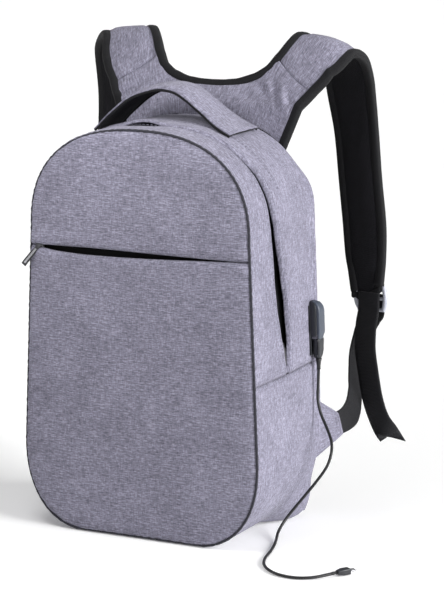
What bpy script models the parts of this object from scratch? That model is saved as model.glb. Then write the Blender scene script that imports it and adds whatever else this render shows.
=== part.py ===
"""Backpack with a hidden main zip, a front pocket, a side charging port and a yoke harness.

Units are metres, +Z is up and the front of the bag faces -Y. The origin is on the floor,
in the middle of the flat base. Left and right are a viewer's, with +X to the right.
"""

import math

import bmesh
import bpy
from mathutils import Matrix, Vector

# Driving dimensions of the bag.
HEIGHT = 0.440
HALF_WIDTH = 0.140
HALF_DEPTH = 0.0775
FLAT_HALF = 0.060
CORNER_TOP = 0.095
CORNER_POWER = 2.3
ARCH_SPRING = 0.330
ARCH_HALF = 0.130
ARCH_POWER = 2.4
CORNER_STEPS = 9
ARCH_STEPS = 12

# Walls, gaps and seams.
GAP = 0.0003
WALL = 0.004
PANEL_INSET = 0.003
BACK_WALL = 0.005
FLAP_BOTTOM = 0.182
POCKET_ZIP_HEIGHT = 0.310
PIPING_RADIUS = 0.0012

# The main zip lies in a plane that leans forward as it rises.
ZIP_PLANE_Y = 0.003
ZIP_LEAN = 0.158
SLIT_HALF = 0.005
TAPE_DEPTH = 0.0043
TAPE_THICKNESS = 0.001
TAPE_WIDTH = 0.012
TAPE_START = 0.014

# Harness: stations are (y, z, inner x, outer x) along a strap.
YOKE_BASE_TOP = 0.445
COVER_THICKNESS = 0.0025
LINING_THICKNESS = 0.0055
YOKE_ROWS = [
    (0.0836, 0.4508, 0.020, 0.113),
    (0.0890, 0.4585, 0.020, 0.119),
    (0.0965, 0.4680, 0.020, 0.127),
    (0.1005, 0.4740, 0.028, 0.131),
    (0.1045, 0.4810, 0.047, 0.136),
    (0.1095, 0.4895, 0.063, 0.141),
]
YOKE_NECK_ROW = 3
STRAP_ROWS = [
    (0.1097, 0.4899, 0.0635, 0.1412),
    (0.1170, 0.5030, 0.0760, 0.1480),
    (0.1270, 0.5170, 0.0870, 0.1520),
    (0.1400, 0.5240, 0.0905, 0.1540),
    (0.1570, 0.5200, 0.0920, 0.1545),
    (0.1750, 0.5050, 0.0930, 0.1530),
    (0.1900, 0.4800, 0.0940, 0.1510),
    (0.1990, 0.4480, 0.0970, 0.1510),
    (0.2030, 0.4100, 0.1030, 0.1530),
    (0.2040, 0.3600, 0.1080, 0.1570),
    (0.2030, 0.3100, 0.1140, 0.1630),
    (0.2010, 0.2700, 0.1190, 0.1640),
    (0.2000, 0.2440, 0.1265, 0.1620),
]

# Ladder locks and webbing.
LOCK_CENTRE = (0.149, 0.200, 0.2265)
LOCK_SIZE = (0.038, 0.004, 0.027)
WEBBING_WIDTH = 0.025
WEBBING_THICKNESS = 0.0016
# Each webbing station is a place and the direction of the webbing's width there.
LEFT_SPLAY = 0.045
SPLAY_FROM_Y = 0.120
SPLAY_REACH = 0.080
LOWER_WEBBING = [
    ((0.1475, 0.1235, 0.0988), (0.60, 0.00, -0.80)),
    ((0.1455, 0.1440, 0.1005), (0.60, 0.05, -0.80)),
    ((0.1405, 0.1700, 0.1055), (0.50, 0.25, -0.83)),
    ((0.1335, 0.1920, 0.1190), (0.35, 0.62, -0.70)),
    ((0.1305, 0.2000, 0.1380), (0.30, 0.90, -0.30)),
    ((0.1310, 0.2020, 0.1610), (0.35, 0.94, 0.00)),
    ((0.1350, 0.2080, 0.1820), (0.55, 0.83, 0.00)),
    ((0.1420, 0.2110, 0.1990), (0.90, 0.44, 0.00)),
    ((0.1475, 0.2075, 0.2105), (1.00, 0.00, 0.00)),
]
WEBBING_TAIL = [
    ((0.1470, 0.1955, 0.2115), (1.00, 0.00, 0.00)),
    ((0.1440, 0.1945, 0.1950), (1.00, 0.00, 0.00)),
    ((0.1445, 0.1940, 0.1700), (1.00, 0.00, 0.00)),
    ((0.1480, 0.1935, 0.1460), (1.00, 0.00, 0.00)),
    ((0.1545, 0.1930, 0.1130), (1.00, 0.00, 0.00)),
    ((0.1640, 0.1930, 0.0880), (1.00, 0.00, 0.00)),
    ((0.1760, 0.1930, 0.0720), (1.00, 0.00, 0.00)),
]

# Grab handle: its centre line over the top of the bag, as (x, height above the arch).
HANDLE_LIFT = [
    (-0.088, 0.0066),
    (-0.072, 0.0150),
    (-0.048, 0.0275),
    (-0.019, 0.0350),
    (0.004, 0.0345),
    (0.022, 0.0260),
    (0.038, 0.0155),
    (0.056, 0.0085),
    (0.074, 0.0066),
]
HANDLE_Y = 0.022
HANDLE_WIDTH = 0.058
HANDLE_FABRIC = 0.0016
HANDLE_FOOT = 0.010

# A laptop sleeve this wide leaves room beside it for the charging lead.
SLEEVE_HALF = 0.104

# Zip hardware.
POCKET_SLIDER_X = -0.118
POCKET_PULLER_LENGTH = 0.027
POCKET_PULLER_LEAN = math.radians(37)
MAIN_SLIDER_Z = 0.207
MAIN_PULLER_LENGTH = 0.019

# Charging port on the right side, and its cord, plug to plug.
PORT_Y = 0.068
PORT_LOW = 0.2045
PORT_HIGH = 0.2460
PORT_WIDTH = 0.0160
PORT_STAND = 0.0125
PLUG_LENGTH = 0.0205
PLUG_BODY = (0.0085, 0.0130)
CORD_DIAMETER = 0.0032
CORD_ROUTE = [
    (0.1437, 0.0680, 0.1832),
    (0.1437, 0.0680, 0.1720),
    (0.1436, 0.0675, 0.1560),
    (0.1440, 0.0660, 0.1370),
    (0.1490, 0.0640, 0.1220),
    (0.1590, 0.0580, 0.1080),
    (0.1675, 0.0500, 0.0970),
    (0.1710, 0.0420, 0.0865),
    (0.1690, 0.0350, 0.0730),
    (0.1600, 0.0280, 0.0570),
    (0.1465, 0.0200, 0.0375),
    (0.1340, 0.0110, 0.0190),
    (0.1310, -0.0040, 0.0075),
    (0.1350, -0.0190, 0.0030),
    (0.1405, -0.0350, 0.0018),
    (0.1475, -0.0600, 0.0017),
    (0.1530, -0.0850, 0.0017),
    (0.1610, -0.1050, 0.0017),
    (0.1740, -0.1210, 0.0017),
    (0.1900, -0.1310, 0.0017),
    (0.2090, -0.1330, 0.0017),
    (0.2250, -0.1260, 0.0020),
    (0.2360, -0.1140, 0.0030),
    (0.2425, -0.1045, 0.0037),
]
PHONE_PLUG_SIZE = (0.0085, 0.0065, 0.0150)

STYLES = {
    "heather_fabric": ((0.33, 0.32, 0.36), 0.9, 0.0),
    "lining_fabric": ((0.05, 0.05, 0.06), 0.9, 0.0),
    "black_mesh": ((0.012, 0.012, 0.014), 0.85, 0.0),
    "black_webbing": ((0.010, 0.010, 0.012), 0.7, 0.0),
    "zip_tape": ((0.006, 0.006, 0.008), 0.8, 0.0),
    "dark_zinc": ((0.02, 0.02, 0.022), 0.4, 0.9),
    "bright_zinc": ((0.55, 0.55, 0.58), 0.3, 1.0),
    "grey_plastic": ((0.42, 0.43, 0.48), 0.45, 0.0),
    "black_plastic": ((0.012, 0.014, 0.018), 0.45, 0.0),
    "cable_rubber": ((0.008, 0.008, 0.009), 0.5, 0.0),
    "plug_steel": ((0.6, 0.6, 0.62), 0.3, 1.0),
    "board": ((0.06, 0.06, 0.06), 0.7, 0.0),
}


def clear_scene():
    for old in list(bpy.data.objects):
        bpy.data.objects.remove(old, do_unlink=True)


def new_collection(name, hidden=False):
    made = bpy.data.collections.new(name)
    made.hide_render = hidden
    bpy.context.scene.collection.children.link(made)
    return made


def style(name):
    found = bpy.data.materials.get(name)
    if found:
        return found
    colour, roughness, metallic = STYLES[name]
    made = bpy.data.materials.new(name)
    made.use_nodes = True
    shader = made.node_tree.nodes["Principled BSDF"]
    shader.inputs["Base Color"].default_value = (*colour, 1)
    shader.inputs["Roughness"].default_value = roughness
    shader.inputs["Metallic"].default_value = metallic
    return made


def add_object(name, data, look, location=(0, 0, 0)):
    made = bpy.data.objects.new(name, data)
    made.location = location
    made.data.materials.append(style(look))
    PARTS.objects.link(made)
    return made


def mesh_of(name, work):
    bmesh.ops.recalc_face_normals(work, faces=work.faces)
    data = bpy.data.meshes.new(name)
    work.to_mesh(data)
    work.free()
    return data


def solidify(thing, thickness, offset=-1):
    shell = thing.modifiers.new("Thickness", "SOLIDIFY")
    shell.thickness = thickness
    shell.offset = offset
    shell.use_even_offset = True


def bevel(thing, width, segments=2):
    edge = thing.modifiers.new("Rounding", "BEVEL")
    edge.width = width
    edge.segments = segments
    edge.limit_method = "ANGLE"


def cut(thing, cutter, operation="DIFFERENCE"):
    taken = thing.modifiers.new("Cut", "BOOLEAN")
    taken.operation = operation
    taken.solver = "EXACT"
    taken.object = cutter


def box_mesh(name, size, centre=(0, 0, 0)):
    work = bmesh.new()
    bmesh.ops.create_cube(work, size=1)
    bmesh.ops.scale(work, vec=size, verts=work.verts)
    bmesh.ops.translate(work, vec=centre, verts=work.verts)
    return mesh_of(name, work)


def add_box(name, size, centre, look, rounding=0, frame=None):
    """A rounded box; frame, when given, is the matrix that the centre is measured in."""
    thing = add_object(name, box_mesh(name, size), look)
    thing.matrix_world = (frame or Matrix()) @ Matrix.Translation(centre)
    if rounding:
        bevel(thing, rounding)
    return thing


def add_cutter(name, size, centre, frame=None):
    cutter = bpy.data.objects.new(name, box_mesh(name, size))
    cutter.matrix_world = (frame or Matrix()) @ Matrix.Translation(centre)
    cutter.hide_render = True
    cutter.display_type = "WIRE"
    CUTTERS.objects.link(cutter)
    return cutter


def arch_height(x):
    """Height of the bag's top above the floor at x."""
    return ARCH_SPRING + (HEIGHT - ARCH_SPRING) * (1 - abs(x / ARCH_HALF) ** ARCH_POWER) ** (1 / ARCH_POWER)


def side_x(z):
    """Half width of the straight, tapered side at height z."""
    share = (z - CORNER_TOP) / (ARCH_SPRING - CORNER_TOP)
    return HALF_WIDTH + (ARCH_HALF - HALF_WIDTH) * share


def zip_y(z):
    return ZIP_PLANE_Y - ZIP_LEAN * (z - FLAP_BOTTOM)


def right_outline():
    """The +X half of the outline as (x, z), from the middle of the base up to the top."""
    points = [(0.0, 0.0)]
    for step in range(CORNER_STEPS + 1):
        turn = math.pi / 2 * step / CORNER_STEPS
        across = math.sin(turn) ** (2 / CORNER_POWER)
        down = math.cos(turn) ** (2 / CORNER_POWER)
        points.append((FLAT_HALF + (HALF_WIDTH - FLAT_HALF) * across, CORNER_TOP * (1 - down)))
    for step in range(ARCH_STEPS + 1):
        turn = math.pi / 2 * step / ARCH_STEPS
        across = math.cos(turn) ** (2 / ARCH_POWER) if step < ARCH_STEPS else 0.0
        up = math.sin(turn) ** (2 / ARCH_POWER)
        points.append((ARCH_HALF * across, ARCH_SPRING + (HEIGHT - ARCH_SPRING) * up))
    return points


def inset_right(inset):
    """right_outline() moved inwards by inset, square to the outline."""
    points = right_outline()
    moved = []
    for i, (x, z) in enumerate(points):
        before = points[i - 1] if i else (-points[1][0], points[1][1])
        after = points[i + 1] if i + 1 < len(points) else (-points[-2][0], points[-2][1])
        run = Vector((after[0] - before[0], after[1] - before[1])).normalized()
        moved.append((x - run.y * inset, z + run.x * inset))
    moved[0] = (0.0, inset)
    moved[-1] = (0.0, HEIGHT - inset)
    return moved


def right_between(low, high, inset=0.0):
    """The inset right half between two heights, with a point exactly at each."""
    points = inset_right(inset)
    kept = []
    for (xa, za), (xb, zb) in zip(points, points[1:]):
        for level in (low, high):
            if za < level < zb:
                share = (level - za) / (zb - za)
                kept.append((xa + (xb - xa) * share, level))
        if low <= zb <= high:
            kept.append((xb, zb))
    if points[0][1] >= low:
        kept.insert(0, points[0])
    return sorted(set(kept), key=lambda p: (p[1], p[0] if p[1] < ARCH_SPRING else -p[0]))


def band_path(low, high, inset=0.0):
    """Open path of a band that is cut at one height, from its right end round to its left."""
    side = right_between(low, high, inset)
    if low > 0:
        return side + [(-x, z) for x, z in reversed(side) if x > 1e-6]
    side = list(reversed(side))
    return side + [(-x, z) for x, z in reversed(side) if x > 1e-6]


def add_band(name, path, front, back, thickness, look):
    """A strip along path, from y = front(z) to y = back(z), thickened towards the inside."""
    work = bmesh.new()
    rows = [
        [work.verts.new((x, side(z), z)) for x, z in path]
        for side in (front, back)
    ]
    for i in range(len(path) - 1):
        work.faces.new((rows[0][i], rows[0][i + 1], rows[1][i + 1], rows[1][i]))
    data = mesh_of(name, work)
    middle = Vector((0, 0, HEIGHT / 2))
    face = data.polygons[0]
    if face.normal.dot(face.center - middle) < 0:
        data.flip_normals()
    thing = add_object(name, data, look)
    solidify(thing, thickness)
    return thing


def add_slab(name, right, front, back, look):
    """A flat panel: its right half outline mirrored, between two depths."""
    outline = right + [(-x, z) for x, z in reversed(right) if x > 1e-6]
    work = bmesh.new()
    face = work.faces.new([work.verts.new((x, front, z)) for x, z in outline])
    grown = bmesh.ops.extrude_face_region(work, geom=[face])
    moved = [item for item in grown["geom"] if isinstance(item, bmesh.types.BMVert)]
    bmesh.ops.translate(work, vec=(0, back - front, 0), verts=moved)
    return add_object(name, mesh_of(name, work), look)


def smooth(points, steps):
    """A smooth curve through the points, with this many steps between each two."""
    ends = [2 * points[0] - points[1]] + points + [2 * points[-1] - points[-2]]
    fine = []
    for a, b, c, d in zip(ends, ends[1:], ends[2:], ends[3:]):
        for step in range(steps):
            t = step / steps
            bend = (2 * a - 5 * b + 4 * c - d) * t**2 + (3 * b - a - 3 * c + d) * t**3
            fine.append(0.5 * (2 * b + (c - a) * t + bend))
    fine.append(points[-1])
    return fine


def spline_points(route, spacing):
    """Points at an even spacing on a smooth curve through the route."""
    fine = smooth([Vector(place) for place in route], 20)
    runs = [0.0]
    for a, b in zip(fine, fine[1:]):
        runs.append(runs[-1] + (b - a).length)
    count = max(2, round(runs[-1] / spacing))
    spaced = []
    at = 0
    for i in range(count + 1):
        want = runs[-1] * i / count
        while at < len(runs) - 2 and runs[at + 1] < want:
            at += 1
        share = (want - runs[at]) / (runs[at + 1] - runs[at])
        spaced.append(fine[at].lerp(fine[at + 1], share))
    return spaced


def add_tube(name, points, radius, look):
    data = bpy.data.curves.new(name, "CURVE")
    data.dimensions = "3D"
    data.bevel_depth = radius
    data.bevel_resolution = 2
    data.use_fill_caps = True
    spline = data.splines.new("POLY")
    spline.points.add(len(points) - 1)
    for point, place in zip(spline.points, points):
        point.co = (*place, 1)
    return add_object(name, data, look)


def add_surface(name, grid, thickness, look, side=1, missing=()):
    """A grid of points as an open surface, thickened along its normals or, with side -1, against them."""
    work = bmesh.new()
    rows = [[work.verts.new(p) for p in row] for row in grid]
    for i in range(len(grid) - 1):
        for j in range(len(grid[0]) - 1):
            if (i, j) not in missing:
                work.faces.new((rows[i][j], rows[i][j + 1], rows[i + 1][j + 1], rows[i + 1][j]))
    loose = [v for v in work.verts if not v.link_faces]
    bmesh.ops.delete(work, geom=loose, context="VERTS")
    data = bpy.data.meshes.new(name)
    work.to_mesh(data)
    work.free()
    thing = add_object(name, data, look)
    solidify(thing, thickness, side)
    return thing


def layer(rows, height):
    """Harness rows moved off their line by height, square to it; outwards is up and forward."""
    moved = []
    for i, (y, z, inner, outer) in enumerate(rows):
        before = rows[max(i - 1, 0)]
        after = rows[min(i + 1, len(rows) - 1)]
        run = Vector((after[0] - before[0], after[1] - before[1])).normalized()
        moved.append((y - run.y * height, z + run.x * height, inner, outer))
    return moved


def hung(place, sign):
    """A place given for the right strap, on either side: the left strap hangs further out."""
    x, y, z = place
    if sign > 0:
        return Vector((x, y, z))
    share = min(max((y - SPLAY_FROM_Y) / SPLAY_REACH, 0.0), 1.0)
    return Vector((-x - LEFT_SPLAY * share * share * (3 - 2 * share), y, z))


def add_strap(name, sign, side, thickness, look):
    """A shoulder strap layer on the outer (side 1) or the inner (side -1) face of the strap's line."""
    grid = []
    for y, z, inner, outer in layer(STRAP_ROWS, side * GAP / 2):
        xs = [inner + (outer - inner) * share / 2 for share in range(3)]
        if sign < 0:
            xs.reverse()
        grid.append([hung((x, y, z), sign) for x in xs])
    return add_surface(name, grid, thickness, look, side)


def add_yoke(name, side, thickness, look):
    """A layer of the yoke, one piece from strap to strap with a neck cut out of its upper edge."""
    grid = []
    for y, z, inner, outer in layer(YOKE_ROWS, side * GAP / 2):
        half = [inner, (inner + outer) / 2, outer]
        grid.append([(x, y, z) for x in [-v for v in reversed(half)] + half])
    neck = {(i, 2) for i in range(YOKE_NECK_ROW, len(YOKE_ROWS) - 1)}
    return add_surface(name, grid, thickness, look, side, neck)


def add_ribbon(name, stations, width, thickness, look, sign, steps=3):
    """A flat strap through stations of (place, direction of its width), for one side of the bag."""
    mirror = Vector((sign, 1, 1))
    places = smooth([hung(place, sign) for place, _ in stations], steps)
    widths = smooth([Vector(across) * mirror for _, across in stations], steps)
    grid = []
    for i, (place, across) in enumerate(zip(places, widths)):
        run = places[min(i + 1, len(places) - 1)] - places[max(i - 1, 0)]
        across = (across - run * (across.dot(run) / run.length_squared)).normalized()
        grid.append([place - across * width / 2, place + across * width / 2])
    return add_surface(name, grid, thickness, look, 0)


def side_frame(sign, y, z):
    """Axes on a side wall: X outwards, Z up along the main zip, origin on the outer face."""
    lean = (HALF_WIDTH - ARCH_HALF) / (ARCH_SPRING - CORNER_TOP)
    out = Vector((sign, 0, lean)).normalized()
    up = Vector((-sign * lean, -ZIP_LEAN, 1)).normalized()
    across = up.cross(out)
    turn = Matrix((out, across, up)).transposed().to_4x4()
    return Matrix.Translation((sign * side_x(z), y, z)) @ turn


def port_frame():
    """Axes on the right side wall: X outwards, Z up, origin on the outer face at the port's foot."""
    lean = math.atan2(HALF_WIDTH - ARCH_HALF, ARCH_SPRING - CORNER_TOP)
    return Matrix.Translation((side_x(PORT_LOW), PORT_Y, PORT_LOW)) @ Matrix.Rotation(-lean, 4, "Y")


def build_shell():
    front = -HALF_DEPTH
    behind_panel = front + WALL + GAP
    before_back = HALF_DEPTH - BACK_WALL - GAP
    low_side = band_path(0, FLAP_BOTTOM - GAP / 2)
    high_side = band_path(FLAP_BOTTOM + GAP / 2, HEIGHT)
    add_band("base_gusset", low_side, lambda z: behind_panel, lambda z: before_back, WALL, "heather_fabric")
    rear = add_band("rear_gusset", high_side, lambda z: zip_y(z) + SLIT_HALF, lambda z: before_back,
                    WALL, "heather_fabric")
    add_band("flap_gusset", high_side, lambda z: behind_panel, lambda z: zip_y(z) - SLIT_HALF,
             WALL, "heather_fabric")
    add_slab("back_panel", right_between(0, HEIGHT), before_back + GAP, HALF_DEPTH, "black_mesh")
    for name, low, high in (
        ("front_panel_lower", 0, FLAP_BOTTOM - GAP / 2),
        ("flap_panel_lower", FLAP_BOTTOM + GAP / 2, POCKET_ZIP_HEIGHT - 0.004),
        ("flap_panel_upper", POCKET_ZIP_HEIGHT + 0.004, HEIGHT),
    ):
        add_slab(name, right_between(low, high, PANEL_INSET), front, front + WALL, "heather_fabric")
    return rear


def build_piping():
    inset = PIPING_RADIUS + GAP / 2
    y = -HALF_DEPTH + WALL / 2
    for name, low, high in (
        ("base_piping", 0, FLAP_BOTTOM - GAP),
        ("flap_piping", FLAP_BOTTOM + GAP, HEIGHT),
    ):
        path = band_path(low, high, inset)
        add_tube(name, [(x, y, z) for x, z in path], PIPING_RADIUS, "lining_fabric")


def build_main_zip():
    low = FLAP_BOTTOM + TAPE_START
    path = band_path(low, HEIGHT, TAPE_DEPTH)
    add_band("rear_zip_tape", path, lambda z: zip_y(z) + GAP, lambda z: zip_y(z) + TAPE_WIDTH,
             TAPE_THICKNESS, "zip_tape")
    add_band("front_zip_tape", path, lambda z: zip_y(z) - TAPE_WIDTH, lambda z: zip_y(z) - GAP,
             TAPE_THICKNESS, "zip_tape")
    for side, sign in (("left", -1), ("right", 1)):
        frame = side_frame(sign, zip_y(MAIN_SLIDER_Z), MAIN_SLIDER_Z)
        add_box(f"main_slider_{side}", (0.0022, 0.0064, 0.010), (-0.0028, 0, 0),
                "dark_zinc", 0.0006, frame)
        add_box(f"main_puller_{side}", (0.0010, 0.0044, MAIN_PULLER_LENGTH),
                (-0.0009, 0, -MAIN_PULLER_LENGTH / 2), "dark_zinc", 0.0003, frame)


def build_front_pocket():
    back_of_panel = -HALF_DEPTH + WALL
    tape = (back_of_panel + GAP, back_of_panel + GAP + 0.0008)
    z = POCKET_ZIP_HEIGHT
    add_slab("pocket_tape_lower", right_between(z - TAPE_WIDTH, z - GAP, 0.007), *tape, "zip_tape")
    add_slab("pocket_tape_upper", right_between(z + GAP, z + TAPE_WIDTH, 0.007), *tape, "zip_tape")
    wall = (-0.0625, -0.0615)
    add_slab("pocket_wall_lower", right_between(0.009, 0.178, 0.006), *wall, "lining_fabric")
    add_slab("pocket_wall_upper", right_between(0.186, 0.405, 0.006), *wall, "lining_fabric")
    slider_back = back_of_panel
    slider_front = -HALF_DEPTH - 0.0005
    add_box("pocket_slider", (0.0090, slider_back - slider_front, 0.0064),
            (POCKET_SLIDER_X, (slider_back + slider_front) / 2, z), "dark_zinc", 0.0006)
    pivot = Matrix.Translation((POCKET_SLIDER_X, slider_front - 0.0011, z))
    pivot = pivot @ Matrix.Rotation(POCKET_PULLER_LEAN, 4, "Y")
    add_box("pocket_puller", (0.0055, 0.0012, POCKET_PULLER_LENGTH),
            (0, 0, -POCKET_PULLER_LENGTH / 2), "dark_zinc", 0.0004, pivot)
    add_box("puller_inlay", (0.0022, 0.0008, POCKET_PULLER_LENGTH - 0.008),
            (0, -0.0013, -POCKET_PULLER_LENGTH / 2 - 0.001), "bright_zinc", 0, pivot)


def build_inside():
    board = box_mesh("bottom_board", (2 * FLAT_HALF - 0.006, 0.136, 0.003))
    add_object("bottom_board", board, "board", (0, 0, WALL + GAP + 0.0015))
    sleeve = [(min(x, SLEEVE_HALF), z) for x, z in right_between(0.012, 0.300, 0.006)]
    add_slab("laptop_sleeve", sleeve, 0.0520, 0.0535, "lining_fabric")
    pocket = add_box("power_bank_pocket", (0.024, 0.044, 0.090), (0.1135, 0.022, 0.115), "lining_fabric")
    cut(pocket, add_cutter("power_bank_space", (0.020, 0.040, 0.090), (0.1135, 0.022, 0.117)))


def build_port(wall):
    frame = port_frame()
    tall = PORT_HIGH - PORT_LOW
    housing = add_box("usb_housing", (PORT_STAND, PORT_WIDTH, tall),
                      (PORT_STAND / 2 + 0.0006, 0, tall / 2), "black_plastic", 0.003, frame)
    socket_x = 0.0006 + PORT_STAND / 2
    plate = add_cutter("back_plate", (0.0018, PORT_WIDTH - 0.001, 0.022), (0.0015, 0, -0.007), frame)
    cut(housing, plate, "UNION")
    cut(housing, add_cutter("socket_space", (0.0072, 0.0144, 0.026), (socket_x, 0, 0.001), frame))
    socket = add_box("usb_socket", (0.0066, 0.0138, 0.012), (socket_x, 0, 0.0068), "plug_steel", 0, frame)
    cut(socket, add_cutter("socket_mouth", (0.0054, 0.0126, 0.020), (socket_x, 0, 0.0068), frame))
    cut(wall, add_cutter("port_hole", (0.020, 0.0100, 0.0120), (0, -0.003, 0.030), frame))
    add_box("port_neck", (0.0100, 0.0090, 0.0110), (-0.0047, -0.003, 0.030), "black_plastic", 0, frame)
    clamp = add_box("port_clamp", (0.0014, 0.0130, 0.0190), (-0.0053, -0.005, 0.030), "black_plastic",
                    0, frame)
    cut(clamp, add_cutter("clamp_hole", (0.006, 0.0096, 0.0116), (-0.0053, -0.003, 0.030), frame))
    start = frame @ Vector((-0.0100, -0.003, 0.030))
    lead = [
        start,
        start + Vector((-0.004, 0, 0)),
        start + Vector((-0.009, -0.003, -0.006)),
        start + Vector((-0.011, -0.009, -0.022)),
        Vector((0.1130, 0.046, 0.196)),
        Vector((0.1130, 0.034, 0.184)),
        Vector((0.1130, 0.026, 0.170)),
        Vector((0.1130, 0.024, 0.158)),
        Vector((0.1130, 0.024, 0.1485)),
    ]
    add_tube("inner_lead", spline_points(lead, 0.007), 0.0015, "cable_rubber")
    add_box("inner_lead_plug", (0.0085, 0.0160, 0.026), (0.1130, 0.024, 0.1350), "black_plastic", 0.001)
    plug_centre = (socket_x, 0, -GAP - PLUG_LENGTH / 2)
    add_box("usb_plug_body", (*PLUG_BODY, PLUG_LENGTH), plug_centre, "black_plastic", 0.0015,
            Matrix.Translation((side_x(PORT_LOW) + 0.0010, PORT_Y, PORT_LOW)))
    add_box("usb_plug_shell", (0.0042, 0.0116, 0.0105), (socket_x, 0, 0.0056), "plug_steel", 0,
            Matrix.Translation((side_x(PORT_LOW) + 0.0001, PORT_Y, PORT_LOW)))


def build_cord():
    points = spline_points(CORD_ROUTE, 2.5 * CORD_DIAMETER)
    add_tube("charging_cord", points, CORD_DIAMETER / 2, "cable_rubber")
    run = (points[-1] - points[-2]).normalized()
    flat = Vector((run.x, run.y, 0)).normalized()
    wide, tall, long = PHONE_PLUG_SIZE
    centre = points[-1] + flat * (long / 2 + 0.0006)
    heading = math.atan2(flat.y, flat.x)
    frame = Matrix.Translation((centre.x, centre.y, tall / 2 + 0.0002)) @ Matrix.Rotation(heading, 4, "Z")
    add_box("phone_plug", (long, wide, tall), (0, 0, 0), "black_plastic", 0.001, frame)
    add_box("phone_plug_tip", (0.0065, 0.0068, 0.0018), (long / 2 + 0.0036, 0, 0), "plug_steel", 0, frame)


def build_back():
    for side, sign in (("left", -1), ("right", 1)):
        pad = add_box(f"back_pad_{side}", (0.088, 0.009, 0.255), (sign * 0.058, 0.0823, 0.248),
                      "black_mesh", 0.003)
        pad.modifiers["Rounding"].segments = 1
    add_box("lumbar_pad", (0.264, 0.013, 0.096), (0, 0.0843, 0.052), "heather_fabric", 0.005)
    low = [(x, arch_height(x) - 0.022) for x in (0.0, 0.03, 0.06, 0.085, 0.100, 0.112)]
    crescent = [(0.0, YOKE_BASE_TOP), (0.112, YOKE_BASE_TOP)] + list(reversed(low))
    work = bmesh.new()
    outline = crescent[1:-1] + [crescent[-1]] + [(-x, z) for x, z in reversed(crescent[1:-1])]
    y_front, y_back = HALF_DEPTH + GAP, HALF_DEPTH + 0.006
    face = work.faces.new([work.verts.new((x, y_front, z)) for x, z in outline])
    grown = bmesh.ops.extrude_face_region(work, geom=[face])
    moved = [item for item in grown["geom"] if isinstance(item, bmesh.types.BMVert)]
    bmesh.ops.translate(work, vec=(0, y_back - y_front, 0), verts=moved)
    add_object("yoke_base", mesh_of("yoke_base", work), "heather_fabric")


def build_handle():
    feet = (HANDLE_LIFT[0], HANDLE_LIFT[-1])
    line = spline_points([(x, HANDLE_Y, arch_height(x) + lift) for x, lift in HANDLE_LIFT], 0.008)
    edges = (HANDLE_Y - HANDLE_WIDTH / 2, HANDLE_Y + HANDLE_WIDTH / 2)
    for name, height, look in (
        ("handle_cover", HANDLE_FABRIC + GAP, "heather_fabric"),
        ("handle_lining", 0.0, "black_webbing"),
    ):
        grid = []
        for i, place in enumerate(line):
            run = (line[min(i + 1, len(line) - 1)] - line[max(i - 1, 0)]).normalized()
            x = place.x - run.z * height
            z = place.z + run.x * height
            grid.append([(x, y, z) for y in reversed(edges)])
        add_surface(name, grid, HANDLE_FABRIC, look)
    for side, (x, lift) in zip(("left", "right"), feet):
        run = arch_height(x + 0.004) - arch_height(x - 0.004)
        tilt = math.atan2(run, 0.008)
        inward = math.copysign(0.006, -x)
        middle = x + inward
        thick = lift - 0.0024
        place = Matrix.Translation((middle, HANDLE_Y, arch_height(middle) + GAP + thick / 2))
        add_box(f"handle_foot_{side}", (0.010, HANDLE_FOOT, thick), (0, 0, 0.0004), "black_webbing", 0,
                place @ Matrix.Rotation(-tilt, 4, "Y"))


def build_harness():
    for layer_name, face, thickness, look in (
        ("cover", 1, COVER_THICKNESS, "heather_fabric"),
        ("lining", -1, LINING_THICKNESS, "black_mesh"),
    ):
        add_yoke(f"yoke_{layer_name}", face, thickness, look)
        for side, sign in (("left", -1), ("right", 1)):
            add_strap(f"strap_{layer_name}_{side}", sign, face, thickness, look)


def build_adjusters():
    for side, sign in (("left", -1), ("right", 1)):
        centre = hung(LOCK_CENTRE, sign)
        lock = add_box(f"ladder_lock_{side}", LOCK_SIZE, centre, "grey_plastic", 0.0012)
        for level, height in (("upper", 0.0062), ("lower", -0.0062)):
            hole = (centre[0], centre[1], centre[2] + height)
            cut(lock, add_cutter(f"slot_{level}_{side}", (0.027, 0.02, 0.0062), hole))
        add_ribbon(f"webbing_tail_{side}", WEBBING_TAIL, WEBBING_WIDTH, WEBBING_THICKNESS,
                   "black_webbing", sign)
        add_ribbon(f"lower_webbing_{side}", LOWER_WEBBING, WEBBING_WIDTH, WEBBING_THICKNESS,
                   "black_webbing", sign)
        corners = [
            (0.1380, 0.0785, 0.136), (0.1440, 0.1225, 0.1105),
            (0.1500, 0.1225, 0.0870), (0.1380, 0.0785, 0.068),
        ]
        work = bmesh.new()
        placed = [work.verts.new((sign * x, y, z)) for x, y, z in corners]
        work.faces.new(placed if sign > 0 else reversed(placed))
        data = bpy.data.meshes.new(f"wing_{side}")
        work.to_mesh(data)
        work.free()
        wing = add_object(f"wing_{side}", data, "heather_fabric")
        solidify(wing, 0.0024, -1)


clear_scene()
PARTS = new_collection("backpack")
CUTTERS = new_collection("cutters", hidden=True)

rear_wall = build_shell()
build_piping()
build_main_zip()
build_front_pocket()
build_inside()
build_port(rear_wall)
build_cord()
build_back()
build_handle()
build_harness()
build_adjusters()
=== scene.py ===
"""Looks of the grey backpack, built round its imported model.

Units are metres, +Z is up and the front of the bag faces -Y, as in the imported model.
Lengths along the outline are measured from the middle of the base, up the right side, over the
top and down the left side.
"""

import bisect
import math

import bmesh
import bpy
from mathutils import Matrix, Vector, noise


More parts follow.
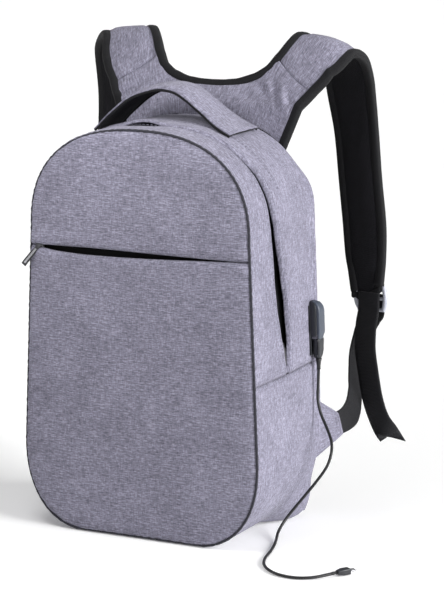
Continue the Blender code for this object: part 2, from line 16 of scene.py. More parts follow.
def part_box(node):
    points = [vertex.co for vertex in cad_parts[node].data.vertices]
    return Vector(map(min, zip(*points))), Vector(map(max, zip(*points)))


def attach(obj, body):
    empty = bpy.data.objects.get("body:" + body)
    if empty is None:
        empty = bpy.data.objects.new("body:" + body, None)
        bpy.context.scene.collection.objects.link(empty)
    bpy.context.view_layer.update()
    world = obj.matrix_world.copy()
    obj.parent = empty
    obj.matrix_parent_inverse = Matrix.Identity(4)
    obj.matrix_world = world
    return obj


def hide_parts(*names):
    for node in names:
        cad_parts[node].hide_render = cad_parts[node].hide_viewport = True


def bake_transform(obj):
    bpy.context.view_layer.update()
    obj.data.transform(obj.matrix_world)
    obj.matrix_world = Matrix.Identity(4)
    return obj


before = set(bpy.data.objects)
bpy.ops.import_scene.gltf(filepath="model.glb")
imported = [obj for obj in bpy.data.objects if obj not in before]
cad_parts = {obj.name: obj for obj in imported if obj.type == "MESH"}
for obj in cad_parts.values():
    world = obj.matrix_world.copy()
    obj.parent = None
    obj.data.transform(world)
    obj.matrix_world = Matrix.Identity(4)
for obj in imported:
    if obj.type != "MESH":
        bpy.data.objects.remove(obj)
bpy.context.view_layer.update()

# The bag's shell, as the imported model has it.
HEIGHT = 0.440
HALF_WIDTH = 0.140
FRONT = -0.0775
BACK = 0.0725
FLAT_HALF = 0.060
CORNER_TOP = 0.095
CORNER_POWER = 2.3
ARCH_SPRING = 0.330
ARCH_HALF = 0.130
ARCH_POWER = 2.4
ZIP_PLANE_Y = 0.003
ZIP_LEAN = 0.158
SEAM_Z = 0.178
POCKET_Z = 0.310

# Cloth, fold, sewing and zip sizes.
CLOTH = 0.0016
SIDE_BULGE = 0.0022
RIM = 0.0085
PIPING_RADIUS = 0.0014
STITCH_LENGTH = 0.0030
STITCH_GAP = 0.0016
STITCH_RADIUS = 0.00042
FLOOR_CLEAR = 0.0006
HEM_WIDTH = 0.0035
LIP_FOLD = 0.0045
BASE_FOLD = 0.0022
SEAM_FOLD = 0.0018
END_FOLD_WIDTH = 0.004
EDGE_CROWDING = 0.85
SEWN_LIFT = 0.0001
TAPE_DEPTH = 0.0092
TAPE_WIDTH = 0.019
COIL_PITCH = 0.0015
PAD_SEAT = 0.0045

# Harness stations: (y, z, inner x, outer x) from the foot of the yoke to the end of a strap.
HARNESS_ROWS = [
    (0.0836, 0.4508, 0.020, 0.113),
    (0.0890, 0.4585, 0.020, 0.119),
    (0.0965, 0.4680, 0.020, 0.1258),
    (0.1005, 0.4740, 0.028, 0.131),
    (0.1045, 0.4810, 0.047, 0.136),
    (0.1098, 0.4908, 0.0610, 0.1410),
    (0.1172, 0.5032, 0.0706, 0.1457),
    (0.1270, 0.5154, 0.0776, 0.1490),
    (0.1400, 0.5230, 0.0820, 0.1510),
    (0.1570, 0.5190, 0.0855, 0.1520),
    (0.1750, 0.5050, 0.0895, 0.1520),
    (0.1900, 0.4800, 0.0940, 0.1510),
    (0.1990, 0.4480, 0.0970, 0.1510),
    (0.2030, 0.4100, 0.1030, 0.1530),
    (0.2040, 0.3600, 0.1080, 0.1570),
    (0.2030, 0.3100, 0.1140, 0.1630),
    (0.2010, 0.2700, 0.1190, 0.1640),
    (0.2000, 0.2440, 0.1265, 0.1620),
]
NECK_FOOT = 3.0
YOKE_FOOT = -2.4
SEAM_INNER = 5.9
NECK_SHARE = 0.472
SEAM_OUTER = 1.4
STRAP_END = 17.0
BINDING_WIDTH = 0.0100
BINDING_DEPTH = 0.0104

# Webbing stations: (place, direction of the webbing's width).
WEBBING_WIDTH = 0.025
WEBBING_THICKNESS = 0.0016
LEFT_SPLAY = 0.045
SPLAY_FROM_Y = 0.120
SPLAY_REACH = 0.080
LOWER_WEBBING = [
    ((0.1436, 0.1165, 0.0985), (0.25, 0.00, -0.97)),
    ((0.1455, 0.1440, 0.1005), (0.60, 0.05, -0.80)),
    ((0.1405, 0.1700, 0.1055), (0.50, 0.25, -0.83)),
    ((0.1335, 0.1920, 0.1190), (0.35, 0.62, -0.70)),
    ((0.1305, 0.2000, 0.1380), (0.30, 0.90, -0.30)),
    ((0.1310, 0.2020, 0.1610), (0.35, 0.94, 0.00)),
    ((0.1350, 0.2080, 0.1820), (0.55, 0.83, 0.00)),
    ((0.1420, 0.2110, 0.1990), (0.90, 0.44, 0.00)),
    ((0.1490, 0.2078, 0.2105), (1.00, 0.00, 0.00)),
    ((0.1510, 0.2055, 0.2310), (1.00, 0.00, 0.00)),
]
WEBBING_TAIL = [
    ((0.1486, 0.1940, 0.2340), (1.00, 0.00, 0.00)),
    ((0.1480, 0.1943, 0.2140), (1.00, 0.00, 0.00)),
    ((0.1450, 0.1945, 0.1950), (1.00, 0.00, 0.00)),
    ((0.1445, 0.1940, 0.1700), (1.00, 0.00, 0.00)),
    ((0.1480, 0.1935, 0.1460), (1.00, 0.00, 0.00)),
    ((0.1545, 0.1930, 0.1130), (1.00, 0.00, 0.00)),
    ((0.1640, 0.1930, 0.0880), (1.00, 0.00, 0.00)),
    ((0.1770, 0.1930, 0.0700), (0.82, 0.57, 0.00)),
]
LOCK_CENTRE = Vector((0.149, 0.200, 0.2265))
WING_CORNERS = [
    (0.1350, 0.0720, 0.139),
    (0.1440, 0.1225, 0.1105),
    (0.1500, 0.1225, 0.0870),
    (0.1350, 0.0720, 0.065),
]

# Grab handle: (x, height above the arch).
HANDLE_LIFT = [
    (-0.088, 0.0066),
    (-0.072, 0.0150),
    (-0.048, 0.0275),
    (-0.019, 0.0350),
    (0.004, 0.0345),
    (0.022, 0.0260),
    (0.038, 0.0155),
    (0.056, 0.0070),
    (0.077, 0.0040),
]
HANDLE_Y = 0.022
HANDLE_WIDTH = 0.058

# Pocket zip, charging port and cord.
POCKET_SLIDER_X = -0.118
PULLER_LEAN = math.radians(37)
PORT_Y = 0.068
PORT_LOW = 0.2045
PORT_TALL = 0.0415
PORT_STAND = 0.0125
PORT_WIDTH = 0.0160
CORD_DIAMETER = 0.0032
CORD_ROUTE = [
    (0.1437, 0.0680, 0.1832),
    (0.1437, 0.0680, 0.1720),
    (0.1436, 0.0675, 0.1560),
    (0.1440, 0.0660, 0.1370),
    (0.1490, 0.0640, 0.1220),
    (0.1590, 0.0580, 0.1080),
    (0.1675, 0.0500, 0.0970),
    (0.1710, 0.0420, 0.0865),
    (0.1690, 0.0350, 0.0730),
    (0.1600, 0.0280, 0.0570),
    (0.1465, 0.0200, 0.0375),
    (0.1340, 0.0110, 0.0190),
    (0.1310, -0.0040, 0.0075),
    (0.1350, -0.0190, 0.0030),
    (0.1405, -0.0350, 0.0018),
    (0.1475, -0.0600, 0.0017),
    (0.1530, -0.0850, 0.0017),
    (0.1610, -0.1050, 0.0017),
    (0.1740, -0.1210, 0.0017),
    (0.1900, -0.1310, 0.0017),
    (0.2090, -0.1330, 0.0017),
    (0.2250, -0.1260, 0.0020),
    (0.2360, -0.1140, 0.0030),
    (0.2425, -0.1045, 0.0037),
]

# Camera, in front of the bag and to its right.
CAMERA_TARGET = Vector((0.0607, 0.0, 0.252))
CAMERA_AZIMUTH = math.radians(26.35)
CAMERA_HEIGHT_ANGLE = math.radians(11.25)
CAMERA_DISTANCE = 2.709
CAMERA_LENS = 152.4


# ---------------------------------------------------------------- materials


def new_material(name, roughness, metallic=0.0, sheen=0.0, specular=0.5):
    made = bpy.data.materials.new(name)
    made.use_nodes = True
    shader = made.node_tree.nodes["Principled BSDF"]
    for socket, value in (("Roughness", roughness), ("Metallic", metallic), ("Sheen Weight", sheen),
                          ("Specular IOR Level", specular)):
        shader.inputs[socket].default_value = value
    return made, shader


def node(made, kind, **values):
    added = made.node_tree.nodes.new(kind)
    for key, value in values.items():
        setattr(added, key, value)
    return added


def link(made, out, into):
    made.node_tree.links.new(out, into)


def math_node(made, operation, *values):
    """A Math node whose inputs are numbers or sockets."""
    added = node(made, "ShaderNodeMath", operation=operation)
    for slot, value in zip(added.inputs, values):
        if isinstance(value, (int, float)):
            slot.default_value = value
        else:
            link(made, value, slot)
    return added.outputs[0]


def weighted(made, *parts):
    """The sum of several values, each given with its weight."""
    total = None
    for value, weight in parts:
        part = value if weight == 1 else math_node(made, "MULTIPLY", value, weight)
        total = part if total is None else math_node(made, "ADD", total, part)
    return total


def cloth_place(made):
    """Where a point is on its piece of cloth, in metres along and across it."""
    return node(made, "ShaderNodeAttribute", attribute_name="cloth").outputs["Vector"]


def streaks(made, place, along, across, detail=2.0, shift=0.0):
    """Noise drawn out into threads: its grain is 1/along by 1/across metres."""
    scaled = node(made, "ShaderNodeMapping")
    scaled.inputs["Scale"].default_value = (along, across, 1.0)
    scaled.inputs["Location"].default_value = (shift, shift, shift)
    link(made, place, scaled.inputs["Vector"])
    grain = node(made, "ShaderNodeTexNoise")
    grain.inputs["Scale"].default_value = 1.0
    grain.inputs["Detail"].default_value = detail
    grain.inputs["Roughness"].default_value = 0.6
    link(made, scaled.outputs["Vector"], grain.inputs["Vector"])
    return grain.outputs["Fac"]


def colour_by(made, shader, value, *stops):
    """Colours a material by a value: each stop is a value and its colour."""
    ramp = node(made, "ShaderNodeValToRGB")
    elements = ramp.color_ramp.elements
    while len(elements) < len(stops):
        elements.new(0.5)
    for element, (place, colour) in zip(elements, stops):
        element.position = place
        element.color = (*colour, 1)
    link(made, value, ramp.inputs["Fac"])
    link(made, ramp.outputs["Color"], shader.inputs["Base Color"])


def add_bump(made, shader, height, strength, distance):
    bump = node(made, "ShaderNodeBump")
    bump.inputs["Strength"].default_value = strength
    bump.inputs["Distance"].default_value = distance
    link(made, height, bump.inputs["Height"])
    link(made, bump.outputs["Normal"], shader.inputs["Normal"])


def rough_spread(made, shader, value, low, high):
    spread = node(made, "ShaderNodeMapRange")
    spread.inputs["To Min"].default_value = low
    spread.inputs["To Max"].default_value = high
    link(made, value, spread.inputs["Value"])
    link(made, spread.outputs["Result"], shader.inputs["Roughness"])


def plain_weave(made, place, pitch):
    """Height of a plain weave of threads pitch apart, from -1 to 1."""
    parts = node(made, "ShaderNodeSeparateXYZ")
    link(made, place, parts.inputs["Vector"])
    turn = 2 * math.pi / (2 * pitch)
    along = math_node(made, "SINE", math_node(made, "MULTIPLY", parts.outputs["X"], turn))
    across = math_node(made, "SINE", math_node(made, "MULTIPLY", parts.outputs["Y"], turn))
    return math_node(made, "MULTIPLY", along, across)


def grey_heather():
    """Heather polyester: two-tone weft slubs over a fine plain weave."""
    made, shader = new_material("grey_heather", 0.92, sheen=0.08, specular=0.18)
    place = cloth_place(made)
    weft = streaks(made, place, 210.0, 1050.0, 3.0)
    warp = streaks(made, place, 1150.0, 170.0, 2.0, 7.3)
    long_weft = streaks(made, place, 70.0, 620.0, 1.0, 3.1)
    cloud = streaks(made, place, 22.0, 30.0, 2.0, 1.7)
    weave = plain_weave(made, place, 0.00055)
    mixed = weighted(made, (weft, 0.46), (warp, 0.22), (long_weft, 0.22), (cloud, 0.10), (weave, 0.012))
    colour_by(made, shader, mixed, (0.38, (0.091, 0.087, 0.115)), (0.50, (0.188, 0.181, 0.238)),
              (0.62, (0.341, 0.331, 0.421)))
    rough_spread(made, shader, mixed, 0.96, 0.78)
    add_bump(made, shader, weighted(made, (weave, 0.35), (mixed, 1)), 0.55, 0.0006)
    return made


def lining_cloth():
    """Thin black lining, plainly woven."""
    made, shader = new_material("lining_cloth", 0.8, sheen=0.1, specular=0.3)
    place = cloth_place(made)
    grain = streaks(made, place, 300.0, 900.0)
    colour_by(made, shader, grain, (0.3, (0.010, 0.010, 0.012)), (0.7, (0.024, 0.024, 0.029)))
    rough_spread(made, shader, grain, 0.9, 0.7)
    add_bump(made, shader, plain_weave(made, place, 0.0006), 0.4, 0.0003)
    return made


def seam_groove_shade_cloth():
    """Cloth wound round the cord of the front seam, coloured near black: painted shade of the groove the cord
    sits in.
    """
    made, shader = new_material("seam_groove_shade_cloth", 0.85, sheen=0.15, specular=0.3)
    grain = streaks(made, cloth_place(made), 900.0, 900.0)
    # near-black colour: painted shade of the seam's groove
    colour_by(made, shader, grain, (0.3, (0.008, 0.008, 0.012)), (0.7, (0.034, 0.033, 0.046)))
    rough_spread(made, shader, grain, 0.92, 0.75)
    add_bump(made, shader, grain, 0.4, 0.0004)
    return made


def black_mesh():
    """Black spacer mesh: rows of small hexagonal holes in a knitted face."""
    made, shader = new_material("black_mesh", 0.75, sheen=0.03, specular=0.15)
    place = cloth_place(made)
    scaled = node(made, "ShaderNodeMapping")
    scaled.inputs["Scale"].default_value = (430.0, 430.0, 1.0)
    link(made, place, scaled.inputs["Vector"])
    cells = node(made, "ShaderNodeTexVoronoi", feature="F1")
    cells.inputs["Scale"].default_value = 1.0
    cells.inputs["Randomness"].default_value = 0.25
    link(made, scaled.outputs["Vector"], cells.inputs["Vector"])
    hole = cells.outputs["Distance"]
    wear = streaks(made, place, 40.0, 60.0)
    # the holes are coloured darker than the knitted face: painted shade inside them
    colour_by(made, shader, weighted(made, (hole, 0.7), (wear, 0.3)), (0.25, (0.0020, 0.0020, 0.0028)),
              (0.70, (0.0095, 0.0090, 0.0125)))
    rough_spread(made, shader, hole, 0.9, 0.62)
    add_bump(made, shader, hole, 0.7, 0.0008)
    return made


def ribbed_cloth(name, dark, light, pitch, roughness):
    """Woven tape: ribs across its width, with a faint grain along it."""
    made, shader = new_material(name, roughness, sheen=0.03, specular=0.22)
    place = cloth_place(made)
    parts = node(made, "ShaderNodeSeparateXYZ")
    link(made, place, parts.inputs["Vector"])
    ribs = math_node(made, "SINE", math_node(made, "MULTIPLY", parts.outputs["X"], 2 * math.pi / pitch))
    height = weighted(made, (ribs, 1), (plain_weave(made, place, pitch), 0.6))
    # the ribs' height lightens their crests and darkens the grooves between them: painted shade
    tone = weighted(made, (streaks(made, place, 500.0, 1500.0), 1), (height, 0.06))
    colour_by(made, shader, tone, (0.3, dark), (0.7, light))
    rough_spread(made, shader, tone, roughness + 0.1, roughness - 0.1)
    add_bump(made, shader, height, 0.5, 0.0004)
    return made


def edge_light_and_corner_shade(made, grain, share):
    """A fine grain mixed with how far the surface stands out: paler on outer edges as a painted highlight,
    darker in inner corners as painted shade.
    """
    edge = node(made, "ShaderNodeNewGeometry").outputs["Pointiness"]
    return weighted(made, (grain, share), (edge, 1 - share))


def object_streaks(made, along, across, detail=2.0):
    return streaks(made, node(made, "ShaderNodeTexCoord").outputs["Object"], along, across, detail)


def metal(name, colour, edge_light_colour, roughness):
    """Cast zinc, brushed by handling: streaked by fine scratches, paler on its edges as a painted highlight
    and darker in its inner corners as painted shade.
    """
    made, shader = new_material(name, roughness, metallic=1.0)
    scratch = object_streaks(made, 900.0, 6000.0)
    colour_by(made, shader, edge_light_and_corner_shade(made, scratch, 0.35), (0.40, colour), (0.62, edge_light_colour))
    rough_spread(made, shader, scratch, roughness - 0.08, roughness + 0.12)
    add_bump(made, shader, scratch, 0.15, 0.0001)
    return made


def moulded(name, colour, edge_colour, roughness):
    """Moulded plastic: fine spark-eroded grain, a little paler along its outer edges as a painted highlight
    and darker in its inner corners as painted shade.
    """
    made, shader = new_material(name, roughness)
    grain = object_streaks(made, 3500.0, 3500.0)
    colour_by(made, shader, edge_light_and_corner_shade(made, grain, 0.25), (0.47, colour), (0.66, edge_colour))
    rough_spread(made, shader, grain, roughness - 0.05, roughness + 0.10)
    add_bump(made, shader, grain, 0.2, 0.0001)
    return made


def pressed_board():
    made, shader = new_material("pressed_board", 0.8, specular=0.3)
    grain = object_streaks(made, 400.0, 500.0, 4.0)
    colour_by(made, shader, grain, (0.3, (0.03, 0.03, 0.03)), (0.7, (0.07, 0.068, 0.065)))
    rough_spread(made, shader, grain, 0.9, 0.7)
    add_bump(made, shader, grain, 0.4, 0.0004)
    return made


# How each look is made: its function and what that is given.
LOOKS = {
    "heather_fabric": (grey_heather,),
    "lining_fabric": (lining_cloth,),
    "cord_cloth": (seam_groove_shade_cloth,),
    "black_mesh": (black_mesh,),
    "board": (pressed_board,),
    "black_webbing": (ribbed_cloth, "black_webbing", (0.0025, 0.0025, 0.0034), (0.010, 0.0098, 0.013), 0.0016,
                      0.66),
    "binding_tape": (ribbed_cloth, "binding_tape", (0.0018, 0.0018, 0.0024), (0.007, 0.0068, 0.0090), 0.0010,
                     0.72),
    # zip_tape is darker than the other black cloths: its own black with painted shade of the slits it lies in
    "zip_tape": (ribbed_cloth, "zip_tape", (0.0012, 0.0012, 0.0016), (0.005, 0.0048, 0.0062), 0.0008, 0.78),
    "dark_zinc": (metal, "dark_zinc", (0.03, 0.03, 0.033), (0.16, 0.16, 0.17), 0.38),
    "bright_zinc": (metal, "bright_zinc", (0.50, 0.50, 0.53), (0.80, 0.80, 0.83), 0.28),
    "plug_steel": (metal, "plug_steel", (0.55, 0.55, 0.57), (0.80, 0.80, 0.82), 0.25),
    "grey_plastic": (moulded, "grey_plastic", (0.36, 0.37, 0.43), (0.50, 0.51, 0.57), 0.36),
    "black_plastic": (moulded, "black_plastic", (0.007, 0.008, 0.011), (0.030, 0.034, 0.042), 0.40),
    "port_plastic": (moulded, "port_plastic", (0.034, 0.042, 0.060), (0.100, 0.118, 0.150), 0.42),
    "cable_rubber": (moulded, "cable_rubber", (0.0025, 0.0025, 0.0032), (0.012, 0.012, 0.014), 0.50),
}
MADE = {}


def look(name):
    """The material of a look, made when it is first asked for."""
    if name not in MADE:
        maker, *values = LOOKS[name]
        MADE[name] = maker(*values)
    return MADE[name]


def give_look(name, finish):
    """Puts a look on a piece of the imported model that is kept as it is."""
    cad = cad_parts[name]
    cad.data.materials.clear()
    cad.data.materials.append(look(finish))


# ---------------------------------------------------------------- mesh tools


def add_mesh(name, points, faces, looks, cloth=None):
    """A mesh object; cloth gives each point's place on its cloth."""
    data = bpy.data.meshes.new(name)
    data.from_pydata([tuple(p) for p in points], [], faces)
    data.update()
    place = data.attributes.new("cloth", "FLOAT_VECTOR", "POINT")
    for i, where in enumerate(cloth or [(p[0] + p[1], p[2]) for p in points]):
        place.data[i].vector = (where[0], where[1], 0)
    for finish in looks:
        data.materials.append(look(finish))
    data.shade_smooth()
    thing = bpy.data.objects.new(name, data)
    bpy.context.scene.collection.objects.link(thing)
    return thing


def apply_modifiers(thing):
    """Makes the evaluated mesh the object's own."""
    done = bpy.data.meshes.new_from_object(thing.evaluated_get(bpy.context.evaluated_depsgraph_get()))
    done.name = thing.name
    thing.modifiers.clear()
    thing.data = done
    return thing


def thicken(thing, thickness, offset=-1.0):
    """A shell of cloth: its second look, if it has one, is its inner face."""
    shell = thing.modifiers.new("Cloth", "SOLIDIFY")
    shell.thickness = thickness
    shell.offset = offset
    shell.use_even_offset = False
    shell.material_offset = 1 if len(thing.data.materials) > 1 else 0
    return apply_modifiers(thing)


def grid_faces(rows, cols, flip=False, around=False, start=0):
    """Quads of a grid of points; around joins each row's last point to its first."""
    faces = []
    for i in range(rows - 1):
        near, far = start + i * cols, start + (i + 1) * cols
        for j in range(cols if around else cols - 1):
            k = (j + 1) % cols
            quad = (near + j, near + k, far + k, far + j)
            faces.append(tuple(reversed(quad)) if flip else quad)
    return faces


def face_outwards(thing, merge=0.0, front=None):
    """Joins points closer than merge, then turns all faces outwards, or an open cloth's towards front."""
    work = bmesh.new()
    work.from_mesh(thing.data)
    if merge:
        bmesh.ops.remove_doubles(work, verts=work.verts, dist=merge)
    bmesh.ops.recalc_face_normals(work, faces=work.faces)
    if front and sum(f.normal.dot(front) * f.calc_area() for f in work.faces) < 0:
        bmesh.ops.reverse_faces(work, faces=work.faces)
    work.to_mesh(thing.data)
    work.free()
    return thing


def runs_along(points):
    """How far along a line each of its points is."""
    runs = [0.0]
    for a, b in zip(points, points[1:]):
        runs.append(runs[-1] + (b - a).length)
    return runs


def stretch_at(runs, want):
    """Which stretch of a line lies at a run, and how much of the stretch comes before it."""
    low = min(max(bisect.bisect_left(runs, want) - 1, 0), len(runs) - 2)
    return low, (want - runs[low]) / max(runs[low + 1] - runs[low], 1e-9)


def turns(count):
    """Angles of that many points round a circle."""
    return [2 * math.pi * k / count for k in range(count)]


def grid_cloth(grid):
    """Each point's run along the grid's middle column and row."""
    middle = len(grid[0]) // 2
    across = runs_along(grid[len(grid) // 2])
    return [(u, v) for u in runs_along([row[middle] for row in grid]) for v in across]


def add_grid(name, grid, looks, thickness=None, flip=False, cloth=None):
    """A cloth through a grid of points."""
    faces = grid_faces(len(grid), len(grid[0]), flip)
    thing = add_mesh(name, [p for row in grid for p in row], faces, looks, cloth or grid_cloth(grid))
    return thicken(thing, thickness) if thickness else thing


def add_loft(name, rings, looks, cap=True):
    """A closed skin through rings of points, capped by a fan at each end."""
    size = len(rings[0])
    points = [p for ring in rings for p in ring]
    faces = grid_faces(len(rings), size, around=True)
    girth = runs_along(rings[0])
    cloth = [(u, v) for u in runs_along([ring[0] for ring in rings]) for v in girth]
    if cap:
        for ring, first, turned in ((rings[0], 0, True), (rings[-1], len(points) - size, False)):
            middle = len(points)
            points.append(sum(ring, Vector()) / size)
            cloth.append(cloth[first])
            for j in range(size):
                edge = (first + j, first + (j + 1) % size)
                faces.append((middle, *(reversed(edge) if turned else edge)))
    return face_outwards(add_mesh(name, points, faces, looks, cloth))


def ring_cord(name, line, finish, sizes):
    """A closed cord round the bag; sizes(i) is its reach across and along y at point i."""
    rings = []
    for i, place in enumerate(line):
        run = (line[(i + 1) % len(line)] - line[i - 1]).normalized()
        side = Vector((0, 1, 0)).cross(run).normalized()
        across, along = sizes(i)
        rings.append([place + side * across * math.cos(t) + Vector((0, 1, 0)) * along * math.sin(t)
                      for t in turns(10)])
    rings.append(rings[0])
    return add_loft(name, rings, [finish], cap=False)


def smooth(points, steps):
    """A smooth curve through the points, with this many steps between each two."""
    ends = [2 * points[0] - points[1]] + points + [2 * points[-1] - points[-2]]
    fine = []
    for a, b, c, d in zip(ends, ends[1:], ends[2:], ends[3:]):
        for step in range(steps):
            t = step / steps
            bend = (2 * a - 5 * b + 4 * c - d) * t**2 + (3 * b - a - 3 * c + d) * t**3
            fine.append(0.5 * (2 * b + (c - a) * t + bend))
    fine.append(points[-1])
    return fine


def spaced(points, spacing):
    """The polyline again, with points at an even spacing."""
    runs = runs_along(points)
    count = max(2, round(runs[-1] / spacing))
    made = []
    for i in range(count + 1):
        low, share = stretch_at(runs, runs[-1] * i / count)
        made.append(points[low].lerp(points[low + 1], share))
    return made


def even_runs(start, end, step):
    count = max(2, round((end - start) / step))
    return [start + (end - start) * i / count for i in range(count + 1)]


def tangent(points, i):
    return (points[min(i + 1, len(points) - 1)] - points[max(i - 1, 0)]).normalized()


def add_tube(name, points, radius, looks, sides=12, up=Vector((0, 0, 1))):
    """A round tube along points; radius is a number or a function of the share along it."""
    rings = []
    side = tangent(points, 0).cross(up)
    if side.length < 0.1:
        side = tangent(points, 0).cross(Vector((1, 0, 0)))
    for i, place in enumerate(points):
        run = tangent(points, i)
        side = (side - run * side.dot(run)).normalized()
        rise = run.cross(side)
        size = radius(i / (len(points) - 1)) if callable(radius) else radius
        rings.append([place + side * size * math.cos(t) + rise * size * math.sin(t) for t in turns(sides)])
    return add_loft(name, rings, looks)


def superellipse(turn, power):
    c, s = math.cos(turn), math.sin(turn)
    return (math.copysign(abs(c) ** (2 / power), c), math.copysign(abs(s) ** (2 / power), s))


def join(name, things):
    """One object from several."""
    work = bmesh.new()
    looks = []
    for thing in things:
        base = len(looks)
        looks.extend(thing.data.materials)
        before = len(work.faces)
        work.from_mesh(thing.data)
        work.faces.ensure_lookup_table()
        for face in work.faces[before:]:
            face.material_index += base
    data = bpy.data.meshes.new(name)
    work.to_mesh(data)
    work.free()
    for material in looks:
        data.materials.append(material)
    for thing in things:
        bpy.data.objects.remove(thing)
    made = bpy.data.objects.new(name, data)
    bpy.context.scene.collection.objects.link(made)
    return made


def rounded_box(name, size, frame_matrix, finish, rounding, shape=None):
    """A moulded block: a bevelled and subdivided box, pushed into its form by shape(point)."""
    work = bmesh.new()
    bmesh.ops.create_cube(work, size=1)
    bmesh.ops.scale(work, vec=size, verts=work.verts)
    bmesh.ops.subdivide_edges(work, edges=work.edges, cuts=4, use_grid_fill=True)
    sharp = [e for e in work.edges if len(e.link_faces) == 2 and e.calc_face_angle() > 0.5]
    bmesh.ops.bevel(work, geom=sharp, offset=rounding, segments=3, profile=0.6, affect="EDGES")
    for vert in work.verts:
        if shape:
            vert.co = shape(vert.co.copy())
        vert.co = frame_matrix @ vert.co
    bmesh.ops.recalc_face_normals(work, faces=work.faces)
    points = [v.co.copy() for v in work.verts]
    work.verts.index_update()
    faces = [[v.index for v in f.verts] for f in work.faces]
    work.free()
    return add_mesh(name, points, faces, [finish])


def stitches(name, line, normals):
    """A row of sewn stitches along a line, each a small bowed thread."""
    points, faces, cloth = [], [], []
    runs = runs_along(line)
    rings, sides = 5, 6

    def at(want):
        low, share = stretch_at(runs, want)
        return line[low].lerp(line[low + 1], share), normals[low].lerp(normals[low + 1], share).normalized()

    for k in range(int(runs[-1] / (STITCH_LENGTH + STITCH_GAP))):
        begin = k * (STITCH_LENGTH + STITCH_GAP)
        first = len(points)
        for i in range(rings):
            share = i / (rings - 1)
            here = begin + share * STITCH_LENGTH
            place, out = at(here)
            run = at(min(here + 0.0004, runs[-1]))[0] - place
            if run.length < 1e-7:
                run = place - at(begin)[0]
            side = run.normalized().cross(out).normalized()
            bow = math.sin(math.pi * share)
            size = STITCH_RADIUS * (0.35 + 0.65 * bow ** 0.5)
            centre = place + out * STITCH_RADIUS * (0.9 * bow - 0.5)
            for j, turn in enumerate(turns(sides)):
                points.append(centre + side * size * math.cos(turn) + out * size * 0.8 * math.sin(turn))
                cloth.append((here, 0.001 * j))
        faces.extend(grid_faces(rings, sides, around=True, start=first))
        faces.append(tuple(first + j for j in reversed(range(sides))))
        faces.append(tuple(first + (rings - 1) * sides + j for j in range(sides)))
    return add_mesh(name, points, faces, ["heather_fabric"], cloth)


# ---------------------------------------------------------------- shape of the bag


def dense_outline():
    """The right half of the outline as (x, z), finely spaced, from the base's middle to the top."""
    points = [Vector((0.0, 0.0)), Vector((FLAT_HALF / 2, 0.0))]
    steps = 90
    for step in range(steps + 1):
        turn = math.pi / 2 * step / steps
        across = math.sin(turn) ** (2 / CORNER_POWER)
        down = max(math.cos(turn), 0.0) ** (2 / CORNER_POWER)
        points.append(Vector((FLAT_HALF + (HALF_WIDTH - FLAT_HALF) * across, CORNER_TOP * (1 - down))))
    for step in range(steps + 1):
        turn = math.pi / 2 * step / steps
        across = max(math.cos(turn), 0.0) ** (2 / ARCH_POWER)
        up = math.sin(turn) ** (2 / ARCH_POWER)
        points.append(Vector((ARCH_HALF * across, ARCH_SPRING + (HEIGHT - ARCH_SPRING) * up)))
    return spaced(points, 0.001)


OUTLINE = dense_outline()
HALF_RUN = runs_along(OUTLINE)[-1]
OUTLINE_STEP = HALF_RUN / (len(OUTLINE) - 1)


def outline_at(run):
    """(x, z) and the outward normal at a run along the outline; the left half mirrors the right."""
    run %= 2 * HALF_RUN
    mirrored = run > HALF_RUN
    if mirrored:
        run = 2 * HALF_RUN - run
    place = min(run / OUTLINE_STEP, len(OUTLINE) - 1.001)
    i = int(place)
    x, z = OUTLINE[i].lerp(OUTLINE[i + 1], place - i)
    reach = 4
    before = OUTLINE[i - reach] if i >= reach else Vector((-OUTLINE[reach - i].x, OUTLINE[reach - i].y))
    last = len(OUTLINE) - 1
    after = OUTLINE[i + reach] if i + reach <= last else Vector(
        (-OUTLINE[2 * last - i - reach].x, OUTLINE[2 * last - i - reach].y))
    step = (after - before).normalized()
    normal = Vector((step.y, 0, -step.x))
    if mirrored:
        return -x, z, Vector((-normal.x, 0, normal.z))
    return x, z, normal


def run_at_height(height):
    """The run along the outline at which its right side reaches a height."""
    low, high = HALF_RUN * 0.15, HALF_RUN
    for _ in range(40):
        middle = (low + high) / 2
        if outline_at(middle)[1] < height:
            low = middle
        else:
            high = middle
    return low


def zip_y(z):
    return ZIP_PLANE_Y - ZIP_LEAN * (z - 0.182)


def lump(t, skew=1.0):
    """A smooth rise and fall over t from 0 to 1."""
    return math.sin(math.pi * t**skew) if 0 < t < 1 else 0.0


def ease(t):
    t = min(max(t, 0.0), 1.0)
    return t * t * (3 - 2 * t)


# How wide the main zip's slit stands open on the right, by height.
SLIT_GAPE = [
    (0.178, 0.0000), (0.195, 0.0060), (0.225, 0.0165), (0.255, 0.0190), (0.285, 0.0165), (0.320, 0.0115),
    (0.360, 0.0072), (0.400, 0.0052), (0.440, 0.0040),
]


def slit_edges(run):
    """y of the front and the rear lip of the main zip's slit, which gapes low on each side."""
    x, z, _ = outline_at(run)
    gape = 0.0
    for (low, first), (high, second) in zip(SLIT_GAPE, SLIT_GAPE[1:]):
        if low <= z <= high:
            gape = first + (second - first) * ease_between((z - low) / (high - low))
    gape *= ease((x - 0.012) / 0.020) if x > 0 else 0.4 * ease((-x - 0.050) / 0.020)
    top = lump((x + 0.046) / 0.064) if z > 0.42 else 0.0
    front = zip_y(z) - 0.0010 - 0.38 * gape - 0.0016 * top
    rear = zip_y(z) + 0.0007 + 0.62 * gape + 0.0030 * top
    return front, rear


def lip_rise(run, past):
    """How far the slit's lips part over the arch, past metres from their edge: the rear one rises."""
    x, z, _ = outline_at(run)
    return lump((x + 0.046) / 0.064) * math.exp(-past / 0.007) if z > 0.42 else 0.0


def rim(z):
    """How far the side cloth stands out past the back panel, as a share: none at the base and the arch."""
    return ease((z - 0.02) / 0.10) * (1 - ease((z - 0.36) / 0.05))


def soft(place, scale, seed=0.0):
    """Slow, smooth noise from -1 to 1."""
    return noise.noise(Vector((place.x * scale + seed, place.y * scale, place.z * scale)))


